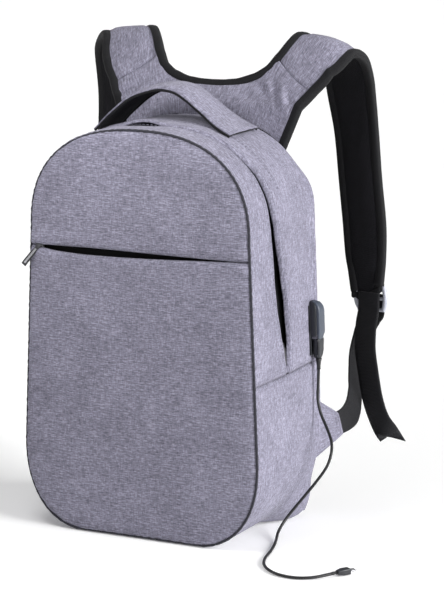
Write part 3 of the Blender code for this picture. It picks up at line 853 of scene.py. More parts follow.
def shell_point(run, y, lift=0.0):
    """A point on the sides, base or top of the bag, with their bulge, rolled edges and creases."""
    x, z, normal = outline_at(run)
    off_floor = ease(z / 0.05)
    share = (y - FRONT) / (BACK - FRONT)
    rise = SIDE_BULGE * lump(min(max(share, 0), 1)) * off_floor
    rise += 0.0010 * off_floor * soft(Vector((x, y, z)), 22.0)
    rise += 0.0005 * off_floor * soft(Vector((x, y * 0.6, z)), 60.0, 5.0)
    rise += 0.0150 * ease((y - 0.010) / 0.055) * ease(z / 0.006) * math.exp(-(((z - 0.019) / 0.021) ** 2))
    front_gap = y - FRONT
    if front_gap < 0.006:
        rise -= 0.0026 * (1 - front_gap / 0.006) ** 2.2
    pucker = math.exp(-front_gap / 0.010) * math.sin(run * 640 + 3 * soft(Vector((x, 0, z)), 30.0))
    rise += 0.00035 * pucker * off_floor
    rise += 0.0045 * rim(z) * ease((y - 0.0690) / 0.013)
    back_gap = BACK + 0.005 + RIM * rim(z) - y
    if back_gap < 0.013:
        rise -= 0.0075 * (1 - back_gap / 0.013) ** 2.4
    return Vector((x, y, z)) + normal * (rise + lift)


def edge_depth(t, width, depth):
    """How far a rolled edge drops, t metres from it."""
    return depth * (1 - max(t, 0.0) / width) ** 2 if t < width else 0.0


# ---------------------------------------------------------------- camera and light


def build_camera():
    data = bpy.data.cameras.new("camera")
    data.lens = CAMERA_LENS
    data.sensor_width = 36.0
    data.clip_end = 60.0
    camera = bpy.data.objects.new("camera", data)
    bpy.context.scene.collection.objects.link(camera)
    level = math.cos(CAMERA_HEIGHT_ANGLE)
    back = Vector((math.sin(CAMERA_AZIMUTH) * level, -math.cos(CAMERA_AZIMUTH) * level,
                   math.sin(CAMERA_HEIGHT_ANGLE)))
    camera.location = CAMERA_TARGET + back * CAMERA_DISTANCE
    camera.rotation_euler = back.to_track_quat("Z", "Y").to_euler()
    bpy.context.scene.camera = camera


def add_area(name, place, target, size, power):
    data = bpy.data.lights.new(name, "AREA")
    data.shape = "DISK"
    data.size = size
    data.energy = power
    light = bpy.data.objects.new(name, data)
    bpy.context.scene.collection.objects.link(light)
    light.location = place
    light.rotation_euler = (Vector(place) - Vector(target)).to_track_quat("Z", "Y").to_euler()


def add_sun(name, direction, strength, spread):
    data = bpy.data.lights.new(name, "SUN")
    data.energy = strength
    data.angle = math.radians(spread)
    light = bpy.data.objects.new(name, data)
    bpy.context.scene.collection.objects.link(light)
    light.rotation_euler = Vector(direction).to_track_quat("Z", "Y").to_euler()


def build_stage():
    """Pale floor, white surroundings, a soft key from the right and a soft light from above."""
    made, shader = new_material("studio_floor", 0.9, specular=0.1)
    shader.inputs["Base Color"].default_value = (0.95, 0.95, 0.95, 1)
    shader.inputs["Emission Color"].default_value = (1, 1, 1, 1)
    shader.inputs["Emission Strength"].default_value = 0.12
    data = bpy.data.meshes.new("studio_floor")
    work = bmesh.new()
    bmesh.ops.create_circle(work, cap_ends=True, segments=96, radius=150.0)
    work.to_mesh(data)
    work.free()
    data.materials.append(made)
    floor = bpy.data.objects.new("studio_floor", data)
    floor.location = (0, 0, -0.0004)
    bpy.context.scene.collection.objects.link(floor)
    world = bpy.data.worlds.new("studio")
    world.use_nodes = True
    world.node_tree.nodes["Background"].inputs["Color"].default_value = (1.0, 1.0, 1.0, 1)
    world.node_tree.nodes["Background"].inputs["Strength"].default_value = 0.36
    bpy.context.scene.world = world
    add_sun("key", (1.0, -0.05, 0.36), 5.25, 38)
    add_sun("overhead", (0.0, 0.35, 1.0), 0.12, 30)
    add_area("top_front", (-0.08, -0.34, 0.70), (0, -0.07, 0.38), 0.3, 1.8)
    bpy.context.scene.view_settings.view_transform = "Standard"


# ---------------------------------------------------------------- cord and plugs


def build_cord():
    line = spaced(smooth([Vector(p) for p in CORD_ROUTE], 20), 0.004)
    cord = add_tube("charging_cable", line, CORD_DIAMETER / 2, ["cable_rubber"])
    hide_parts("charging_cord")
    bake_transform(cord)

    run = tangent(line, len(line) - 1)
    flat = Vector((run.x, run.y, 0)).normalized()
    low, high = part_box("phone_plug")
    centre = (low + high) / 2
    across = Vector((-flat.y, flat.x, 0))
    turn = Matrix((flat, across, Vector((0, 0, 1)))).transposed().to_4x4()
    place = Matrix.Translation(centre) @ turn

    def taper(p):
        share = min(max(0.5 - p.x / 0.015, 0), 1)
        squeeze = 1 - 0.30 * ease((share - 0.55) / 0.45)
        return Vector((p.x, p.y * squeeze, p.z * squeeze))

    body = rounded_box("phone_plug_grip", (0.0148, 0.0084, 0.0062), place, "black_plastic", 0.0012,
                       shape=taper)
    collars = [body]
    for k in range(4):
        near = -0.0078 - 0.0022 * k
        ring = [place @ Vector((near + step, 0, 0)) for step in (0.0, 0.0004, 0.0012, 0.0016)]
        ring = [p.lerp(nearest(line, p), 0.85) for p in ring]
        thick = 0.0024 - 0.0002 * k
        collars.append(add_tube("collar", ring, lambda t, thick=thick: thick * (0.86 + 0.14 * lump(t)),
                                ["cable_rubber"]))
    grip = join("phone_plug_grip", collars)
    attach(grip, "bag")
    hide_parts("phone_plug")
    low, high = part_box("phone_plug_tip")
    tip = Matrix.Translation((low + high) / 2) @ turn
    tongue = rounded_box("phone_plug_tongue", (0.0065, 0.0068, 0.0018), tip, "plug_steel", 0.0005)
    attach(tongue, "bag")
    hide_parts("phone_plug_tip")

    relief_line = line[:4]
    relief = add_tube("cable_relief", relief_line,
                      lambda t: 0.0032 - 0.0014 * t + 0.00035 * math.cos(t * math.pi * 8), ["cable_rubber"])
    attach(relief, "usb_plug")
    low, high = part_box("usb_plug_body")
    middle = Matrix.Translation((low + high) / 2 + Vector((0, 0, 0.0008)))
    tall = high.z - low.z + 0.0016

    def foot(p):
        share = 0.5 - p.z / tall
        squeeze = 1 - 0.28 * ease((share - 0.62) / 0.38)
        rib = 0.0003 * max(0.0, math.cos(p.z * 2400)) if abs(p.z) < 0.005 else 0.0
        return Vector((p.x * squeeze, p.y * squeeze - math.copysign(rib, p.y), p.z))

    plug = rounded_box("usb_plug_grip", (0.0084, 0.0128, tall), middle, "black_plastic", 0.0020, shape=foot)
    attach(plug, "usb_plug")
    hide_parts("usb_plug_body")


def nearest(line, place):
    return min(line, key=lambda p: (p - place).length)


# ---------------------------------------------------------------- the bag's cloth


def band(name, start, end, front, back, columns, fold_front=0.0, fold_back=0.0, fold_ends=0.0):
    """Cloth over the sides from one run to another, between front(run) and back(run).

    A fold turns that edge inwards by the given depth, as a hem does. A folded front or back edge is a
    lip of the main zip's slit, which also parts over the arch.
    """
    grid, cloth = [], []
    for run in even_runs(start, end, 0.004):
        y0, y1 = front(run), back(run)
        row = []
        ends = edge_depth(run - start, END_FOLD_WIDTH, fold_ends)
        ends += edge_depth(end - run, END_FOLD_WIDTH, fold_ends)
        for j in range(columns + 1):
            share = j / columns
            share -= math.sin(2 * math.pi * share) / (2 * math.pi) * EDGE_CROWDING
            y = y0 + (y1 - y0) * share
            drop = edge_depth(y - y0, HEM_WIDTH, fold_front) + edge_depth(y1 - y, HEM_WIDTH, fold_back)
            if fold_front:
                drop -= 0.0052 * lip_rise(run, y - y0)
            if fold_back:
                drop += 0.0036 * lip_rise(run, y1 - y)
            row.append(shell_point(run, y, -drop - ends))
            cloth.append((run, y))
        grid.append(row)
    return add_grid(name, grid, ["heather_fabric", "lining_fabric"], CLOTH, cloth=cloth)


def back_edge(run):
    return BACK + 0.003 + RIM * rim(outline_at(run)[1])


def build_base(seam):
    base = band("base_side_cloth", -seam, seam, lambda r: FRONT + 0.0015, back_edge, 36, fold_ends=BASE_FOLD)
    for vert in base.data.vertices:
        vert.co.z = max(vert.co.z, FLOOR_CLEAR)
    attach(base, "bag")
    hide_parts("base_gusset")


def build_upper_bands(seam):
    far = 2 * HALF_RUN - seam
    rear = band("rear_side_cloth", seam, far, lambda r: slit_edges(r)[1], back_edge, 34,
                fold_front=LIP_FOLD, fold_ends=SEAM_FOLD)
    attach(rear, "bag")
    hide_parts("rear_gusset")
    strip = band("flap_side_cloth", seam, far, lambda r: FRONT + 0.0015, lambda r: slit_edges(r)[0], 26,
                 fold_back=LIP_FOLD, fold_ends=SEAM_FOLD)
    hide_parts("flap_gusset")
    blend_flap(strip)


def blend_flap(thing):
    """Bakes the piece's placement into its points."""
    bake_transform(thing)


def front_depth(x, z, edge):
    """y of the front face, edge metres in from its corded seam."""
    place = Vector((x, 0, z))
    puff = 0.0050 * (1 - math.exp(-edge / 0.030))
    roll = 0.0030 * math.exp(-((edge / 0.0032) ** 1.6))
    slack = 0.0014 * soft(place, 13.0, 2.0) + 0.0007 * soft(Vector((x * 0.5, 0, z)), 42.0, 9.0)
    low = ease((0.20 - z) / 0.14) * ease(edge / 0.02)
    slack += 0.0010 * low * soft(Vector((x * 0.30, 0, z)), 75.0, 4.0)
    pucker_run = (z if abs(x) > 0.06 else x) * 560
    pucker = 0.00060 * math.exp(-edge / 0.011) * math.sin(pucker_run + 5 * soft(place, 24.0, 3.0))
    return FRONT + roll - puff + slack * ease(edge / 0.012) + pucker * ease(edge / 0.003)


FRONT_RINGS = [0.0012, 0.0022, 0.0034, 0.0050, 0.0070, 0.0095, 0.0125, 0.016, 0.020, 0.025, 0.031, 0.038,
               0.046, 0.055, 0.065, 0.076, 0.088]


def front_panel_part(name, runs, z_low, z_high):
    """The front face from its outline in to the vertical middle line, along the given runs."""
    spine_low, spine_high = max(z_low, 0.110), min(z_high, 0.340)
    grid, cloth = [], []
    for run in runs:
        x, z, _ = outline_at(run)
        edge_point = Vector((x, z))
        inwards = Vector((0, min(max(z, spine_low), spine_high))) - edge_point
        reach = inwards.length
        row = []
        for near in [d if d < 0.012 else min(d / 0.095, 1.0) * 0.93 * reach for d in FRONT_RINGS] + [reach]:
            place = edge_point + inwards * min(near / reach, 1.0)
            row.append(Vector((place.x, front_depth(place.x, place.y, min(near, reach)), place.y)))
            cloth.append((place.x, place.y))
        grid.append(row)
    face = add_grid(name, grid, ["heather_fabric", "lining_fabric"], cloth=cloth)
    return face_outwards(face, 0.0002, Vector((0, -1, 0)))


def pocket_gape(x):
    """How far the pocket's slit stands open at x: widest left of the middle, nearly shut to the right."""
    t = (x + 0.124) / 0.246
    return 0.0075 * lump(t, 0.58) ** 1.2 if 0 < t < 1 else 0.0


def open_pocket(thing, below):
    """Moves the cloth next to the pocket's slit so that it gapes, and rolls its lip inwards."""
    for vert in thing.data.vertices:
        away = (POCKET_Z - vert.co.z) if below else (vert.co.z - POCKET_Z)
        gape = pocket_gape(vert.co.x)
        share = 0.78 if below else 0.22
        fade = 1 - ease(away / 0.040)
        vert.co.z += (-gape if below else gape) * share * fade
        if away < 0.0030:
            vert.co.y += 0.0032 * (1 - away / 0.0030) ** 2
        elif away < 0.014:
            vert.co.y -= 0.0009 * lump((away - 0.003) / 0.011)


def build_front():
    """The front face in two cloths, above and below the pocket's zip, and the corded seam round it."""
    level = run_at_height(POCKET_Z)
    near = [0.0, 0.0007, 0.0015, 0.0026, 0.0040]
    low_runs = [-level + d for d in near] + even_runs(-level + 0.006, level - 0.006, 0.0035)
    low_runs += [level - d for d in reversed(near)]
    lower = front_panel_part("front_cloth_lower", low_runs, 0.0, POCKET_Z)
    open_pocket(lower, True)
    for vert in lower.data.vertices:
        vert.co.z = max(vert.co.z, FLOOR_CLEAR)
    lower = thicken(lower, CLOTH)
    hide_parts("front_panel_lower", "flap_panel_lower")
    far = 2 * HALF_RUN - level
    high_runs = [level + d for d in near] + even_runs(level + 0.006, far - 0.006, 0.0035)
    high_runs += [far - d for d in reversed(near)]
    upper = front_panel_part("front_cloth_upper", high_runs, POCKET_Z, HEIGHT)
    open_pocket(upper, False)
    upper = thicken(upper, CLOTH)
    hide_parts("flap_panel_upper")
    line = []
    for run in even_runs(0, 2 * HALF_RUN, 0.0035)[:-1]:
        x, z, normal = outline_at(run)
        wobble = 0.0002 * math.sin(run * 900)
        sunk = 0.0009 * ease(-x / 0.06) * ease(z / 0.05)
        place = Vector((x, FRONT + 0.0016 + sunk, z)) - normal * (PIPING_RADIUS * 0.55 + wobble + sunk)
        place.z = max(place.z, PIPING_RADIUS + FLOOR_CLEAR)
        line.append(place)
    cord = ring_cord("front_seam_cord", line, "cord_cloth",
                     lambda i: [PIPING_RADIUS * (1 + 0.10 * math.sin(i * 2.1))] * 2)
    face_outwards(cord, 0.00005)
    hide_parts("base_piping", "flap_piping")
    for thing, name in ((lower, "heather_fabric"), (upper, "heather_fabric"), (cord, "lining_fabric")):
        blend_flap(thing)


def panel_grid(name, low, high, y, margin, thickness):
    """A flat inner cloth across the bag, following its outline at a margin."""
    grid, cloth = [], []
    rows = max(4, round((high - low) / 0.008))
    for i in range(rows + 1):
        z = low + (high - low) * i / rows
        half = half_width_at(z) - margin
        row = []
        for j in range(25):
            x = -half + 2 * half * j / 24
            row.append(Vector((x, y + 0.0008 * soft(Vector((x, 0, z)), 18.0, y * 90), z)))
            cloth.append((x, z))
        grid.append(row)
    return add_grid(name, grid, ["lining_fabric"], thickness, flip=True, cloth=cloth)


def half_width_at(z):
    if z < CORNER_TOP:
        down = 1 - z / CORNER_TOP
        return FLAT_HALF + (HALF_WIDTH - FLAT_HALF) * max(1 - down**CORNER_POWER, 0) ** (1 / CORNER_POWER)
    if z < ARCH_SPRING:
        return HALF_WIDTH + (ARCH_HALF - HALF_WIDTH) * (z - CORNER_TOP) / (ARCH_SPRING - CORNER_TOP)
    up = min((z - ARCH_SPRING) / (HEIGHT - ARCH_SPRING), 1.0)
    return ARCH_HALF * max(1 - up**ARCH_POWER, 0) ** (1 / ARCH_POWER)


def build_inside():
    """Linings and inner pockets, seen when the bag is open."""
    for name, low, high, spare in (
        ("pocket_lining_lower", 0.010, 0.180, False),
        ("pocket_lining_upper", 0.180, 0.404, True),
    ):
        cloth = panel_grid(name, low, high, -0.0625, 0.008, 0.0010)
        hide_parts("pocket_wall_upper" if spare else "pocket_wall_lower")
        if spare:
            blend_flap(cloth)
        else:
            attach(cloth, "bag")
    half = 0.103
    grid = []
    for i in range(31):
        z = 0.014 + 0.284 * i / 30
        edge = min(half, half_width_at(z) - 0.010)
        belly = 0.0012 * lump(i / 30)
        step = 0.0006 if i > 28 else 0
        grid.append([Vector((-edge + 2 * edge * j / 20, 0.0525 - belly * lump(j / 20) + step, z))
                     for j in range(21)])
    sleeve = add_grid("laptop_sleeve_cloth", grid, ["lining_fabric"], 0.0014, flip=True)
    hem = add_tube("laptop_sleeve_hem", grid[-1], 0.0013, ["binding_tape"], sides=8, up=Vector((0, 1, 0)))
    low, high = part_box("power_bank_pocket")
    rings = []
    centre = (low + high) / 2
    for i in range(16):
        z = low.z + (high.z - low.z) * i / 15
        swell = 1 - 0.04 * lump(i / 15)
        rings.append([Vector((centre.x + (high.x - low.x) / 2 * swell * superellipse(t, 5)[0],
                              centre.y + (high.y - low.y) / 2 * swell * superellipse(t, 5)[1], z))
                      for t in turns(36)])
    pouch = add_loft("power_bank_pouch", rings, ["lining_fabric"], cap=False)
    pouch = thicken(pouch, 0.0012)
    for thing, node_name in ((sleeve, "laptop_sleeve"), (hem, None), (pouch, "power_bank_pocket")):
        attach(thing, "bag")
        if node_name:
            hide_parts(node_name)


# ---------------------------------------------------------------- zips


def tape_band(name, start, end, side):
    """One tape of the main zip, from the zip's middle line towards the front (-1) or the rear (1)."""
    grid, cloth = [], []
    for run in even_runs(start, end, 0.005):
        x, z, normal = outline_at(run)
        row = []
        for j in range(7):
            y = zip_y(z) + side * (0.0009 + (TAPE_WIDTH - 0.0009) * j / 6)
            row.append(Vector((x, y, z)) - normal * (TAPE_DEPTH + 0.0006 * soft(Vector((x, y, z)), 40.0)))
            cloth.append((run, y))
        grid.append(row)
    return add_grid(name, grid, ["zip_tape"], 0.0009, flip=side > 0, cloth=cloth)


def teeth(name, places, runs, outs, side):
    """One coil of a zip: rounded loops along its edge, leaning to the side they mesh on."""
    points, faces = [], []
    for place, run, out in zip(places, runs, outs):
        across = run.cross(out).normalized() * side
        first = len(points)
        for step, size in ((0.0, 0.75), (0.35, 1.0), (0.75, 1.0), (1.0, 0.5)):
            centre = place + across * (0.0017 * (step - 0.25))
            for turn in turns(6):
                points.append(centre + run * COIL_PITCH * 0.34 * size * math.cos(turn)
                              + out * 0.0006 * size * math.sin(turn))
        faces.extend(grid_faces(4, 6, around=True, start=first))
        faces.append(tuple(first + k for k in reversed(range(6))))
        faces.append(tuple(first + 18 + k for k in range(6)))
    return face_outwards(add_mesh(name, points, faces, ["zip_tape"]))


def build_main_zip(seam):
    start, end = seam + 0.004, 2 * HALF_RUN - seam - 0.004
    for side, name, node_name in ((-1, "main_tape_front", "front_zip_tape"),
                                  (1, "main_tape_rear", "rear_zip_tape")):
        tape = tape_band(name, start, end, side)
        places, runs, outs = [], [], []
        for run in even_runs(start, end, COIL_PITCH):
            x, z, normal = outline_at(run)
            ahead_x, ahead_z, _ = outline_at(run + 0.001)
            places.append(Vector((x, zip_y(z) + side * 0.0002, z)) - normal * 0.0086)
            runs.append(Vector((ahead_x - x, zip_y(ahead_z) - zip_y(z), ahead_z - z)).normalized())
            outs.append(normal)
        coil = teeth(name + "_coil", places, runs, outs, -side)
        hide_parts(node_name)
        for thing in (tape, coil):
            if side < 0:
                blend_flap(thing)
            else:
                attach(thing, "bag")
    for side in ("left", "right"):
        for part in ("slider", "puller"):
            give_look(f"main_{part}_{side}", "dark_zinc")


def build_pocket_zip():
    half = half_width_at(POCKET_Z) - 0.006
    for side, name, node_name in ((-1, "pocket_tape_below", "pocket_tape_lower"),
                                  (1, "pocket_tape_above", "pocket_tape_upper")):
        grid = []
        for i in range(60):
            x = -half + 2 * half * i / 59
            grid.append([Vector((x, FRONT + 0.0052 + 0.0004 * soft(Vector((x, 0, j)), 30.0),
                                 POCKET_Z + side * (0.0008 + 0.0125 * j / 5))) for j in range(6)])
        tape = add_grid(name, grid, ["zip_tape"], 0.0009, flip=side > 0)
        places = [Vector((-half + 2 * half * k / 160, FRONT + 0.0048, POCKET_Z + side * 0.0002))
                  for k in range(161)]
        along = [Vector((1, 0, 0))] * 161
        outs = [Vector((0, -1, 0))] * 161
        coil = teeth(name + "_coil", places, along, outs, -side)
        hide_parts(node_name)
        for thing in (tape, coil):
            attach(thing, "front_flap")
    low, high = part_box("pocket_slider")
    centre = (low + high) / 2
    nose = Matrix.Translation(centre)
    body = rounded_box("pocket_slider_body", (0.0090, high.y - low.y, 0.0066), nose, "dark_zinc", 0.0009,
                       shape=lambda p: Vector((p.x, p.y, p.z * (1 - 0.28 * ease((p.x + 0.001) / 0.0055)))))
    arch = [Vector((centre.x + 0.0032 * math.cos(t), low.y + 0.0006 - 0.0020 * math.sin(t), POCKET_Z))
            for t in (math.pi * k / 10 for k in range(11))]
    bridge = add_tube("bridge", arch, 0.0007, ["dark_zinc"], sides=8, up=Vector((0, 1, 0.1)))
    slider = join("pocket_slider_body", [body, bridge])
    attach(slider, "pocket_slider")
    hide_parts("pocket_slider")
    low_p, high_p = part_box("pocket_puller")
    pivot = Matrix.Translation((POCKET_SLIDER_X, (low_p.y + high_p.y) / 2, POCKET_Z))
    pivot = pivot @ Matrix.Rotation(PULLER_LEAN, 4, "Y")
    length = 0.027

    def tongue(p):
        share = 0.5 - p.z / length
        narrow = 1 - 0.30 * lump(min(max((share - 0.05) / 0.35, 0), 1))
        return Vector((p.x * narrow, p.y - 0.0050 * ease(share), p.z))

    pull = rounded_box("pocket_puller_tab", (0.0056, 0.0013, length),
                       pivot @ Matrix.Translation((0, 0, -length / 2)), "dark_zinc", 0.0005, shape=tongue)
    ring = [pivot @ Vector((0.0018 * math.cos(t), -0.0004, -0.0008 + 0.0022 * math.sin(t)))
            for t in (2 * math.pi * k / 16 for k in range(17))]
    loop = add_tube("loop", ring, 0.0005, ["dark_zinc"], sides=8, up=Vector((0, 1, 0)))
    pull = join("pocket_puller_tab", [pull, loop])
    ridge = rounded_box("pocket_puller_ridge", (0.0022, 0.0011, length - 0.008),
                        pivot @ Matrix.Translation((0, -0.0010, -length / 2 - 0.001)), "bright_zinc", 0.0004,
                        shape=lambda p: Vector((p.x, p.y - 0.0050 * ease(0.52 - p.z / length), p.z)))
    for thing, node_name, finish in ((pull, "pocket_puller", "dark_zinc"),
                                     (ridge, "puller_inlay", "bright_zinc")):
        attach(thing, "pocket_puller")
        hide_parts(node_name)


# ---------------------------------------------------------------- seams and stitches


def seam_rows(seam):
    """Rows of stitches below and above each side seam, each with whether it is on the flap."""
    done = []
    for sign in (1, -1):
        for offset in (-0.0045, 0.0048):
            run = seam + offset
            run = run if sign > 0 else 2 * HALF_RUN - run
            ys = [FRONT + 0.008 + (BACK - FRONT - 0.014) * k / 60 for k in range(61)]
            if offset > 0:
                ys = [y for y in ys if not -0.006 < y - ZIP_PLANE_Y < 0.010]
            for part in ([y for y in ys if y < ZIP_PLANE_Y], [y for y in ys if y >= ZIP_PLANE_Y]):
                if len(part) < 3:
                    continue
                done.append((offset > 0 and part[0] < ZIP_PLANE_Y,
                             [shell_point(run, y, SEWN_LIFT) for y in part],
                             [outline_at(run)[2]] * len(part)))
    return done


def build_seams(seam):
    on_bag, on_flap = [], []
    for flap, line, normals in seam_rows(seam):
        (on_flap if flap else on_bag).append(stitches("row", line, normals))
    far = 2 * HALF_RUN - seam
    runs = even_runs(seam + 0.006, far - 0.006, 0.003)
    for side, offset in ((0, -0.0062), (1, 0.0062)):
        line = [shell_point(r, slit_edges(r)[side] + offset, SEWN_LIFT) for r in runs]
        normals = [outline_at(r)[2] for r in runs]
        (on_bag if side else on_flap).append(stitches("row", line, normals))
    arch = [r for r in runs if outline_at(r)[1] > 0.372]
    for offset in (0.0262, 0.0290):
        line = [shell_point(r, zip_y(outline_at(r)[1]) + offset, SEWN_LIFT) for r in arch]
        on_bag.append(stitches("row", line, [outline_at(r)[2] for r in arch]))
    low = []
    half = 0.121
    for k in range(90):
        x = -half + 2 * half * k / 89
        z = POCKET_Z + pocket_gape(x) * 0.22 + 0.0068
        low.append(Vector((x, front_depth(x, z, half_width_at(z) - abs(x)) - 0.0007, z)))
    on_flap.append(stitches("row", low, [Vector((0, -1, 0))] * len(low)))
    bag_rows = join("bag_stitches", on_bag)
    flap_rows = join("flap_stitches", on_flap)
    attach(bag_rows, "bag")
    blend_flap(flap_rows)


# ---------------------------------------------------------------- handle


def handle_line():
    return spaced(smooth([Vector((x, HANDLE_Y, arch_z(x) + rise)) for x, rise in HANDLE_LIFT], 12), 0.003)


def handle_rise(line, i):
    """The handle's upward normal at a point of its line."""
    run = tangent(line, i)
    return Vector((-run.z, 0, run.x))


def arch_z(x):
    return ARCH_SPRING + (HEIGHT - ARCH_SPRING) * (1 - abs(x / ARCH_HALF) ** ARCH_POWER) ** (1 / ARCH_POWER)


def handle_side(x, share, s):
    """y of the handle's cloth off its middle, s from -1 at the front to 1; its right end flares forwards."""
    flare = 0.009 * ease((x - 0.036) / 0.036) * max(-s, 0)
    return s * HANDLE_WIDTH / 2 * (1 - 0.05 * lump(share)) - flare


def handle_layer(name, height, trim, looks, thickness, crown):
    columns = 16
    line = handle_line()
    grid = []
    for i, place in enumerate(line):
        rise = handle_rise(line, i)
        share = i / (len(line) - 1)
        row = []
        for j in range(columns + 1):
            s = 2 * j / columns - 1
            curl = -crown * abs(s) ** 2.5 * lump(share) - 0.0012 * abs(s) ** 8
            ripple = 0.0005 * soft(Vector((place.x, s * 0.02, place.z)), 55.0)
            side = Vector((0, handle_side(place.x, share, s) - s * trim, 0))
            row.append(place + side + rise * (height + curl + ripple))
        grid.append(row)
    return add_grid(name, grid, looks, thickness)


def build_handle():
    cover = handle_layer("handle_top_cloth", 0.0028, 0.0, ["heather_fabric"], 0.0014, 0.0030)
    lining = handle_layer("handle_under_webbing", 0.0013, 0.0006, ["black_webbing"], 0.0020, 0.0030)
    line = handle_line()
    edges = []
    for s in (-1, 1):
        path = []
        for i, place in enumerate(line):
            rise = handle_rise(line, i)
            share = i / (len(line) - 1)
            path.append(place + Vector((0, handle_side(place.x, share, s) - s * 0.0002, 0))
                        + rise * (0.0004 - 0.0030 * lump(share)))
        edges.append(add_tube("edge", path, 0.0013, ["binding_tape"], sides=8, up=Vector((0, 1, 0))))
    edging = join("handle_edging", edges)
    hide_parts("handle_cover")
    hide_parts("handle_lining")
    rows = []
    for s in (-1, 1):
        path, normals = [], []
        for i, place in enumerate(line[2:-2]):
            rise = handle_rise(line, i + 2)
            share = (i + 2) / (len(line) - 1)
            curl = -0.0030 * 0.78**2.5 * lump(share)
            path.append(place + Vector((0, handle_side(place.x, share, 0.8 * s), 0)) + rise * (0.0030 + curl))
            normals.append(rise)
        rows.append(stitches("row", path, normals))
    for at in (3, len(line) - 4):
        place = line[at]
        rise = handle_rise(line, at)
        path = [place + Vector((0, y, 0)) + rise * 0.0031
                for y in (-0.021 + 0.042 * k / 12 for k in range(13))]
        rows.append(stitches("row", path, [rise] * 13))
    sewing = join("handle_stitches", rows)
    for thing, finish in ((cover, "heather_fabric"), (lining, "black_webbing"), (edging, "black_webbing"),
                          (sewing, "heather_fabric")):
        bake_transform(thing)
    for side in ("left", "right"):
        give_look(f"handle_foot_{side}", "black_webbing")


# ---------------------------------------------------------------- harness


def station(t):
    """(y, z, inner x, outer x) and the outward normal in y and z, at t rows up the harness."""
    t = min(max(t, 0.0), STRAP_END)
    i = min(int(t), len(HARNESS_ROWS) - 2)
    part = t - i
    rows = [Vector(HARNESS_ROWS[min(max(i + k, 0), len(HARNESS_ROWS) - 1)]) for k in (-1, 0, 1, 2)]
    a, b, c, d = rows
    if i == 0:
        a = 2 * b - c
    if i == len(HARNESS_ROWS) - 2:
        d = 2 * c - b
    bend = (2 * a - 5 * b + 4 * c - d) * part**2 + (3 * b - a - 3 * c + d) * part**3
    y, z, inner, outer = 0.5 * (2 * b + (c - a) * part + bend)
    slope = 0.5 * ((c - a) + 2 * (2 * a - 5 * b + 4 * c - d) * part + 3 * (3 * b - a - 3 * c + d) * part**2)
    run = Vector((slope[0], slope[1])).normalized()
    return y, z, inner, outer, Vector((0, -run.y, run.x))


def foot_station(t):
    """The same, carried on below the seam, where the yoke runs down behind the bag."""
    y, z, inner, outer, out = station(t)
    below = min(t, 0.0)
    return y + 0.0028 * below, z + 0.0200 * below, inner, outer + 0.0075 * below, out


def inner_share(t):
    """The strap's inner edge as a share of its outer x."""
    _, _, inner, outer, _ = station(max(t, SEAM_INNER))
    return inner / outer


def seam_row(s):
    """Row at which a strap's cloth starts, s of the way from its inner to its outer edge."""
    return SEAM_INNER + (SEAM_OUTER - SEAM_INNER) * s


def neck_row(c):
    """Row of the neck's edge at a share c of the way out from the middle."""
    knots = [(0.0, NECK_FOOT - 0.05), (0.10, NECK_FOOT), (0.214, NECK_FOOT + 0.25), (0.346, 4.05),
             (0.447, 5.0), (NECK_SHARE, SEAM_INNER)]
    for (ca, ta), (cb, tb) in zip(knots, knots[1:]):
        if c <= cb:
            return ta + (tb - ta) * ease_between((c - ca) / (cb - ca))
    return SEAM_INNER


def ease_between(t):
    return 0.6 * t + 0.4 * t * t * (3 - 2 * t)


def hung(place, sign):
    """A place given for the right side, on either side: the left strap hangs further out."""
    x, y, z = place
    if sign > 0:
        return Vector((x, y, z))
    return Vector((-x - LEFT_SPLAY * ease((y - SPLAY_FROM_Y) / SPLAY_REACH), y, z))


def harness_place(t, x, height, sign=1):
    y, z, _, _, out = station(t)
    return hung((x, y, z), sign) + out * height


def strap_end_drop(s):
    """How far the slanted end of a strap hangs past its last station."""
    return -0.0160 + 0.0030 * max(0.4 - s, 0) / 0.4 + 0.0124 * (max(s - 0.4, 0) / 0.6) ** 1.5


def end_sag(t, s):
    """How far a strap's cloth is drawn down to its slanted end, near that end."""
    return ease((t - STRAP_END + 0.7) / 0.7) * strap_end_drop(s)


def droop(t, s, sign):
    """Sag of a strap's outer edge where it turns over at the top."""
    return (0.016 if sign > 0 else 0.008) * lump((t - 4.6) / 6.8) * s * s


def strap_height(t, s, side):
    """Height of a strap's face off its line: crowned foam inside, tauter cloth outside."""
    shape = max(1 - abs(2 * s - 1) ** 3.2, 0.0)
    if side > 0:
        shape *= ease((min(s, 1 - s) * 0.050 - 0.0060) / 0.007)
    fade = ease(t) * (0.5 + 0.5 * ease(STRAP_END - t))
    if side > 0:
        return 0.0006 + (0.0022 * shape) * fade
    return -0.0006 - (0.0052 * shape) * fade


def strap_layer(sign, side, looks, thickness):
    """One face of a strap, from the slanted seam on the yoke to the strap's end."""
    grid = []
    rows = 96
    for i in range(rows + 1):
        row = []
        for j in range(17):
            s = j / 16
            first = seam_row(s)
            share = i / rows
            t = first + (STRAP_END - first) * share
            c = inner_share(t)
            outer = station(t)[3]
            x = outer * (c + (1 - c) * s)
            low = 0.0012 * math.exp(-((share * rows) / 1.2) ** 2)
            height = strap_height(t, s, side)
            height += side * (0.0006 * soft(Vector((x, t * 0.02, 0)), 45.0, 3.0 * sign) - low)
            place = harness_place(t, x, height, sign)
            place.z += end_sag(t, s) - droop(t, s, sign)
            row.append(place)
        grid.append(row)
    name = ("strap_cloth_" if side > 0 else "strap_mesh_") + ("right" if sign > 0 else "left")
    return add_grid(name, grid, looks, thickness, flip=(sign * side) > 0)


def yoke_height(c, side):
    shape = max(1 - c**6, 0.0)
    if side > 0:
        return 0.0006 + 0.0020 * shape
    return -0.0006 - 0.0046 * shape


